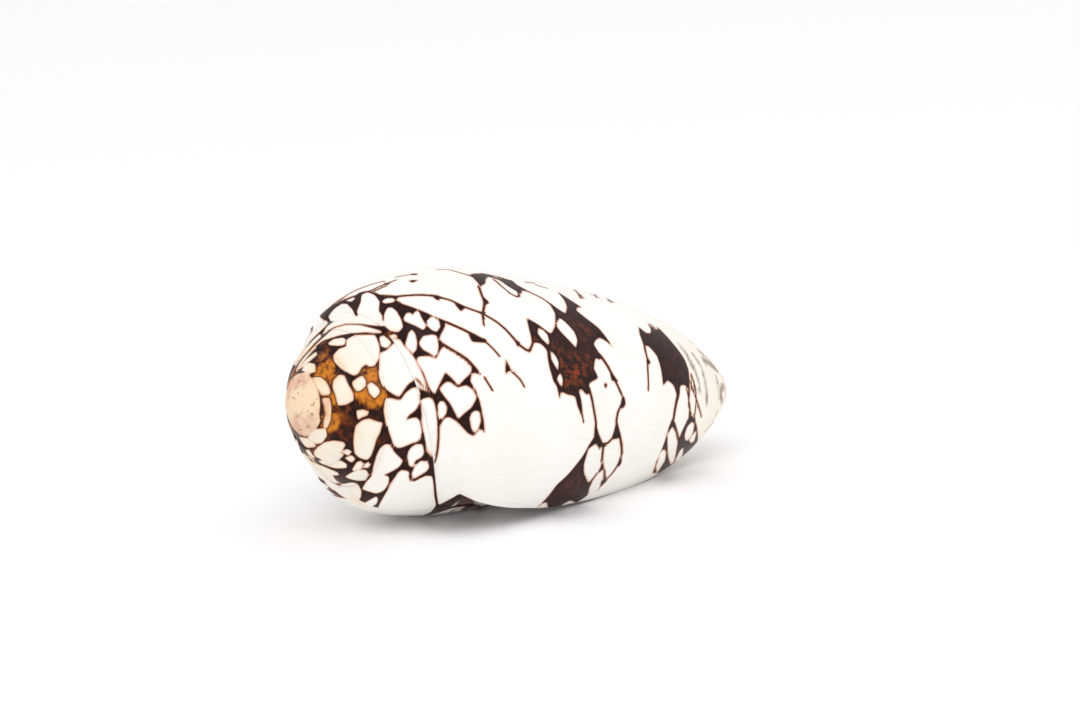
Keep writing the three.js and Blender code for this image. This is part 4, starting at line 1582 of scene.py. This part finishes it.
def makeMaterial(material):
    material.use_nodes = True
    material.node_tree.nodes.clear()
    bench = NodeBench(material.node_tree)
    output = bench.add("ShaderNodeOutputMaterial")
    shader = bench.add("ShaderNodeBsdfPrincipled")
    bench.tree.links.new(shader.outputs[0], output.inputs[0])
    return bench, shader


def scaledPlace(bench, place, scale):
    node = bench.add("ShaderNodeVectorMath", {"operation": "MULTIPLY"}, {0: place, 1: scale})
    return bench.out(node)


def noiseOn(bench, place, scale, detail=2.0, roughness=0.5):
    node = bench.add("ShaderNodeTexNoise", None,
                     {"Vector": place, "Scale": scale, "Detail": detail, "Roughness": roughness})
    return bench.out(node, "Fac")


def mixed(noise, name):
    parts = [noise[kind] * weight for kind, weight in skinMixes[name].items()]
    whole = parts[0]
    for part in parts[1:]:
        whole = whole + part
    return whole


def fromCap(name):
    return [wornRadius + gap for gap in skinSteps[name]]


def dressSkin(material, look):
    bench, shader = makeMaterial(material)
    steps = skinSteps
    shares = skinShares
    objectPlace = bench.out(bench.add("ShaderNodeTexCoord"), "Object")
    growthPlace = bench.field("growthPlace", "VECTOR")
    noise = {name: noiseOn(bench, objectPlace, *kind) for name, kind in skinNoise.items()}
    for name, (scale, detail, roughness) in skinStreaks.items():
        noise[name] = noiseOn(bench, scaledPlace(bench, growthPlace, scale), 1.0, detail, roughness)

    # ground: porcelain white, a little warmer in growth streaks and clouds
    tint = bench.steps(mixed(noise, "tint"), *steps["tint"])
    ground = bench.blend(tint, look["white"], look["shade"])
    frontCream = bench.steps(bench.field("profile"), *steps["frontCream"])
    ground = bench.blend(frontCream * shares["frontCream"], ground, look["cream"])
    spireCream = bench.steps(bench.field("axisDepth"), *steps["spireCream"])
    spireCream = spireCream * (shares["spireCream"] + noise["mottle"] * shares["spireMottle"])
    ground = bench.blend(spireCream, ground, look["spireCream"])
    amber = bench.field("amber")
    stain = amber * bench.steps(noise["clouds"], *steps["amberStain"]) * shares["amberStain"]
    ground = bench.blend(stain, ground, look["amberStain"])

    # marks: a red-brown edge, dark and brown within, and an orange fringe outside
    edge = bench.field("mark")
    notLine = 1.0 - bench.steps(edge, *steps["nearLine"])
    line = bench.maths("ABSOLUTE", bench.field("across")) - brushSizes["lineHalf"]
    line = line + notLine * brushSizes["reach"]
    wobble = (noise["wobble"] - noiseMiddle) * look["edgeWobble"]
    mark = smaller(edge, line) + wobble - look["markSpread"]
    dark = bench.steps(mark, look["edgeSoftness"], -look["edgeSoftness"])
    fringe = bench.steps(mark, *steps["fringe"]) * shares["fringe"]
    inner = bench.steps(mark, *steps["inner"])
    brown = inner * bench.steps(mixed(noise, "brown"), *steps["brown"])
    markTone = bench.blend(brown, look["darkLine"], look["brown"])
    rust = bench.field("rust") * bench.steps(mixed(noise, "rust"), *steps["rust"]) * inner
    markTone = bench.blend(rust * shares["rust"], markTone, look["rust"])
    specks = bench.steps(noise["speckle"], *steps["specks"]) * inner * shares["specks"]
    markTone = bench.blend(specks, markTone, look["redBrown"])
    edgeBrown = bench.steps(mark, *steps["edgeBrown"]) * shares["edgeBrown"]
    markTone = bench.blend(edgeBrown, markTone, look["edgeBrown"])

    # amber shows through the dark on the spire
    bright = mixed(noise, "bright") + (amber - look["brightFrom"]) * look["brightGain"]
    bright = bench.steps(bright, *steps["bright"]) * bench.steps(amber, *steps["brightAmber"])
    amberTone = bench.blend(bright, look["deepAmber"], look["amber"])
    patchy = amber + (noise["amberPatches"] - noiseMiddle) * look["patchGain"]
    amberShare = bench.steps(patchy, *steps["amberPatches"]) * bench.steps(mark, *steps["amberInside"])
    markTone = bench.blend(amberShare, markTone, amberTone)
    skinTone = bench.blend(fringe, ground, look["fringe"])
    skinTone = bench.blend(dark, skinTone, markTone)

    # brown smudges at the front end, and the worn cap with painted shade darkening its pits
    smudge = bench.field("smudge") + (noise["mottle"] - noiseMiddle) * look["smudgeGain"]
    smudge = bench.steps(smudge, *steps["smudge"]) * shares["smudge"]
    skinTone = bench.blend(smudge, skinTone, look["smudge"])
    radius = bench.field("axisRadius")
    worn = bench.steps(radius, *fromCap("worn"))
    pink = bench.steps(noise["capClouds"], *steps["capPink"])
    wornTone = bench.blend(pink, look["capCream"], look["capPink"])
    pits = bench.steps(noise["pits"], *steps["pits"]) * worn
    # the pits are real hollows in the bump; their darker colour is painted shade
    wornTone = bench.blend(pits * shares["pits"], wornTone, look["capPitShade"])
    skinTone = bench.blend(worn * shares["worn"], skinTone, wornTone)
    bench.plug(shader.inputs["Base Color"], skinTone)

    rough = look["roughness"] + (noise["clouds"] - noiseMiddle) * look["roughClouds"]
    rough = rough + dark * look["roughDark"] + worn * look["roughWorn"]
    bench.plug(shader.inputs["Roughness"], rough)
    shader.inputs["Coat Weight"].default_value = look["coat"]
    shader.inputs["Coat Roughness"].default_value = look["coatRoughness"]
    shader.inputs["IOR"].default_value = look["refraction"]
    shader.inputs["Specular IOR Level"].default_value = look["specular"]

    groove = bench.steps(radius, *fromCap("grooveInside")) * bench.steps(radius, *fromCap("grooveOutside"))
    height = mixed(noise, "height") * look["growthLineHeight"] - pits * look["pitHeight"]
    height = height - groove * look["grooveDepth"]
    bump = bench.add("ShaderNodeBump", None, {"Height": height * metre, "Strength": look["bumpStrength"],
                                              "Distance": 1.0 / metre})
    bench.plug(shader.inputs["Normal"], bench.out(bump, "Normal"))


insideLook = {
    "white": paint(246, 240, 232),
    "warm": paint(226, 205, 190),
    "brown": paint(84, 48, 40),
    "roughness": 0.22,
    "roughClouds": 0.1,
    "clouds": (70.0, 3.0),
    "warmth": (0.35, 0.7),
    "brownReach": (1.3, 0.5),
    "ripples": (400.0, 2.0),
    "rippleStrength": 0.15,
    "rippleHeight": 0.0002,
}


def dressInside(material, look):
    bench, shader = makeMaterial(material)
    place = bench.out(bench.add("ShaderNodeTexCoord"), "Object")
    clouds = noiseOn(bench, place, *look["clouds"])
    tone = bench.blend(bench.steps(clouds, *look["warmth"]), look["white"], look["warm"])
    seenMark = bench.steps(bench.field("mark"), *look["brownReach"])
    bench.plug(shader.inputs["Base Color"], bench.blend(seenMark, tone, look["brown"]))
    rough = look["roughness"] + (clouds - noiseMiddle) * look["roughClouds"]
    bench.plug(shader.inputs["Roughness"], rough)
    ripples = noiseOn(bench, place, *look["ripples"])
    bump = bench.add("ShaderNodeBump", None, {"Height": ripples, "Strength": look["rippleStrength"],
                                              "Distance": look["rippleHeight"]})
    bench.plug(shader.inputs["Normal"], bench.out(bump, "Normal"))


# How the shell lies: the side that faces down, and the slope of its axis, in degrees
restingPose = {"downClock": 45.01, "spireLift": 8.1}
sharpAngle = 32.0


def layDown(mesh, pose, box):
    turned = (Matrix.Rotation(math.radians(pose["spireLift"] - 90.0), 4, "Y")
              @ Matrix.Rotation(math.radians(90.0 + pose["downClock"]), 4, "Z")
              @ Matrix.Scale(1.0 / metre, 4))
    mesh.transform(turned)
    places = readAll(mesh.vertices, "co", 3)
    fit = min((np.array(box[1]) - np.array(box[0])) / (places.max(axis=0) - places.min(axis=0)))
    fit = min(fit, 1.0)
    mesh.transform(Matrix.Scale(fit, 4))
    turned = Matrix.Scale(fit, 4) @ turned
    low = places.min(axis=0) * fit
    high = places.max(axis=0) * fit
    shift = (Vector(box[0]) + Vector(box[1])) / 2.0 - Vector((low + high) / 2.0)
    shift.z = box[0][2] - low[2]
    mesh.transform(Matrix.Translation(shift))
    return Matrix.Translation(shift) @ turned


def makeShell():
    skinMaterial = bpy.data.materials.new("shellSkin")
    insideMaterial = bpy.data.materials.new("shellInside")
    dressSkin(skinMaterial, skinLook)
    dressInside(insideMaterial, insideLook)
    mesh = cutHollow(growSkin(skinMaterial), makeHollow(insideMaterial))
    placed = layDown(mesh, restingPose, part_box("shell"))
    dressCorners(mesh, placed)
    mesh.polygons.foreach_set("use_smooth", [True] * len(mesh.polygons))
    mesh.set_sharp_from_angle(angle=math.radians(sharpAngle))
    mesh.name = "coneShell"
    return addObject("coneShell", mesh)


shell = makeShell()
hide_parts("shell")
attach(shell, "root")
print("shell placed")


studio = {
    "floorSize": 6.0,
    "floorRoughness": 0.9,
    "floorTone": paint(252, 252, 252),
    "worldTone": paint(255, 255, 255),
    "worldStrength": 0.9,
    "keyPower": 2.0,
    "keySize": 0.7,
    "keyPlace": (-0.35, -0.35, 0.75),
    "fillPower": 0.6,
    "fillSize": 0.9,
    "fillPlace": (0.7, -0.6, 0.4),
    "lightsAim": (0, 0, 0.02),
}


def makeFloor(look):
    size = look["floorSize"] / 2.0
    corners = [(-size, -size, 0), (size, -size, 0), (size, size, 0), (-size, size, 0)]
    mesh = flatMesh("floor", corners, [(0, 1, 2, 3)])
    floor = addObject("floor", mesh)
    material = bpy.data.materials.new("paleFloor")
    bench, shader = makeMaterial(material)
    shader.inputs["Base Color"].default_value = (*look["floorTone"], 1.0)
    shader.inputs["Roughness"].default_value = look["floorRoughness"]
    mesh.materials.append(material)


def makeSoftbox(name, power, size, place, target):
    light = bpy.data.lights.new(name, "AREA")
    light.energy = power
    light.shape = "DISK"
    light.size = size
    box = addObject(name, light)
    box.location = place
    box.rotation_euler = (Vector(target) - Vector(place)).to_track_quat("-Z", "Y").to_euler()


def makeWorld(look):
    world = bpy.data.worlds.new("studio")
    bpy.context.scene.world = world
    world.use_nodes = True
    world.node_tree.nodes.clear()
    bench = NodeBench(world.node_tree)
    sky = bench.add("ShaderNodeBackground", None,
                    {"Color": look["worldTone"], "Strength": look["worldStrength"]})
    output = bench.add("ShaderNodeOutputWorld")
    world.node_tree.links.new(sky.outputs[0], output.inputs[0])


bpy.context.scene.view_settings.view_transform = "Standard"
makeFloor(studio)
makeWorld(studio)
for which in ("key", "fill"):
    makeSoftbox(which + "Light", studio[which + "Power"], studio[which + "Size"],
                studio[which + "Place"], studio["lightsAim"])
makeCamera(cameraView)
print("studio ready")
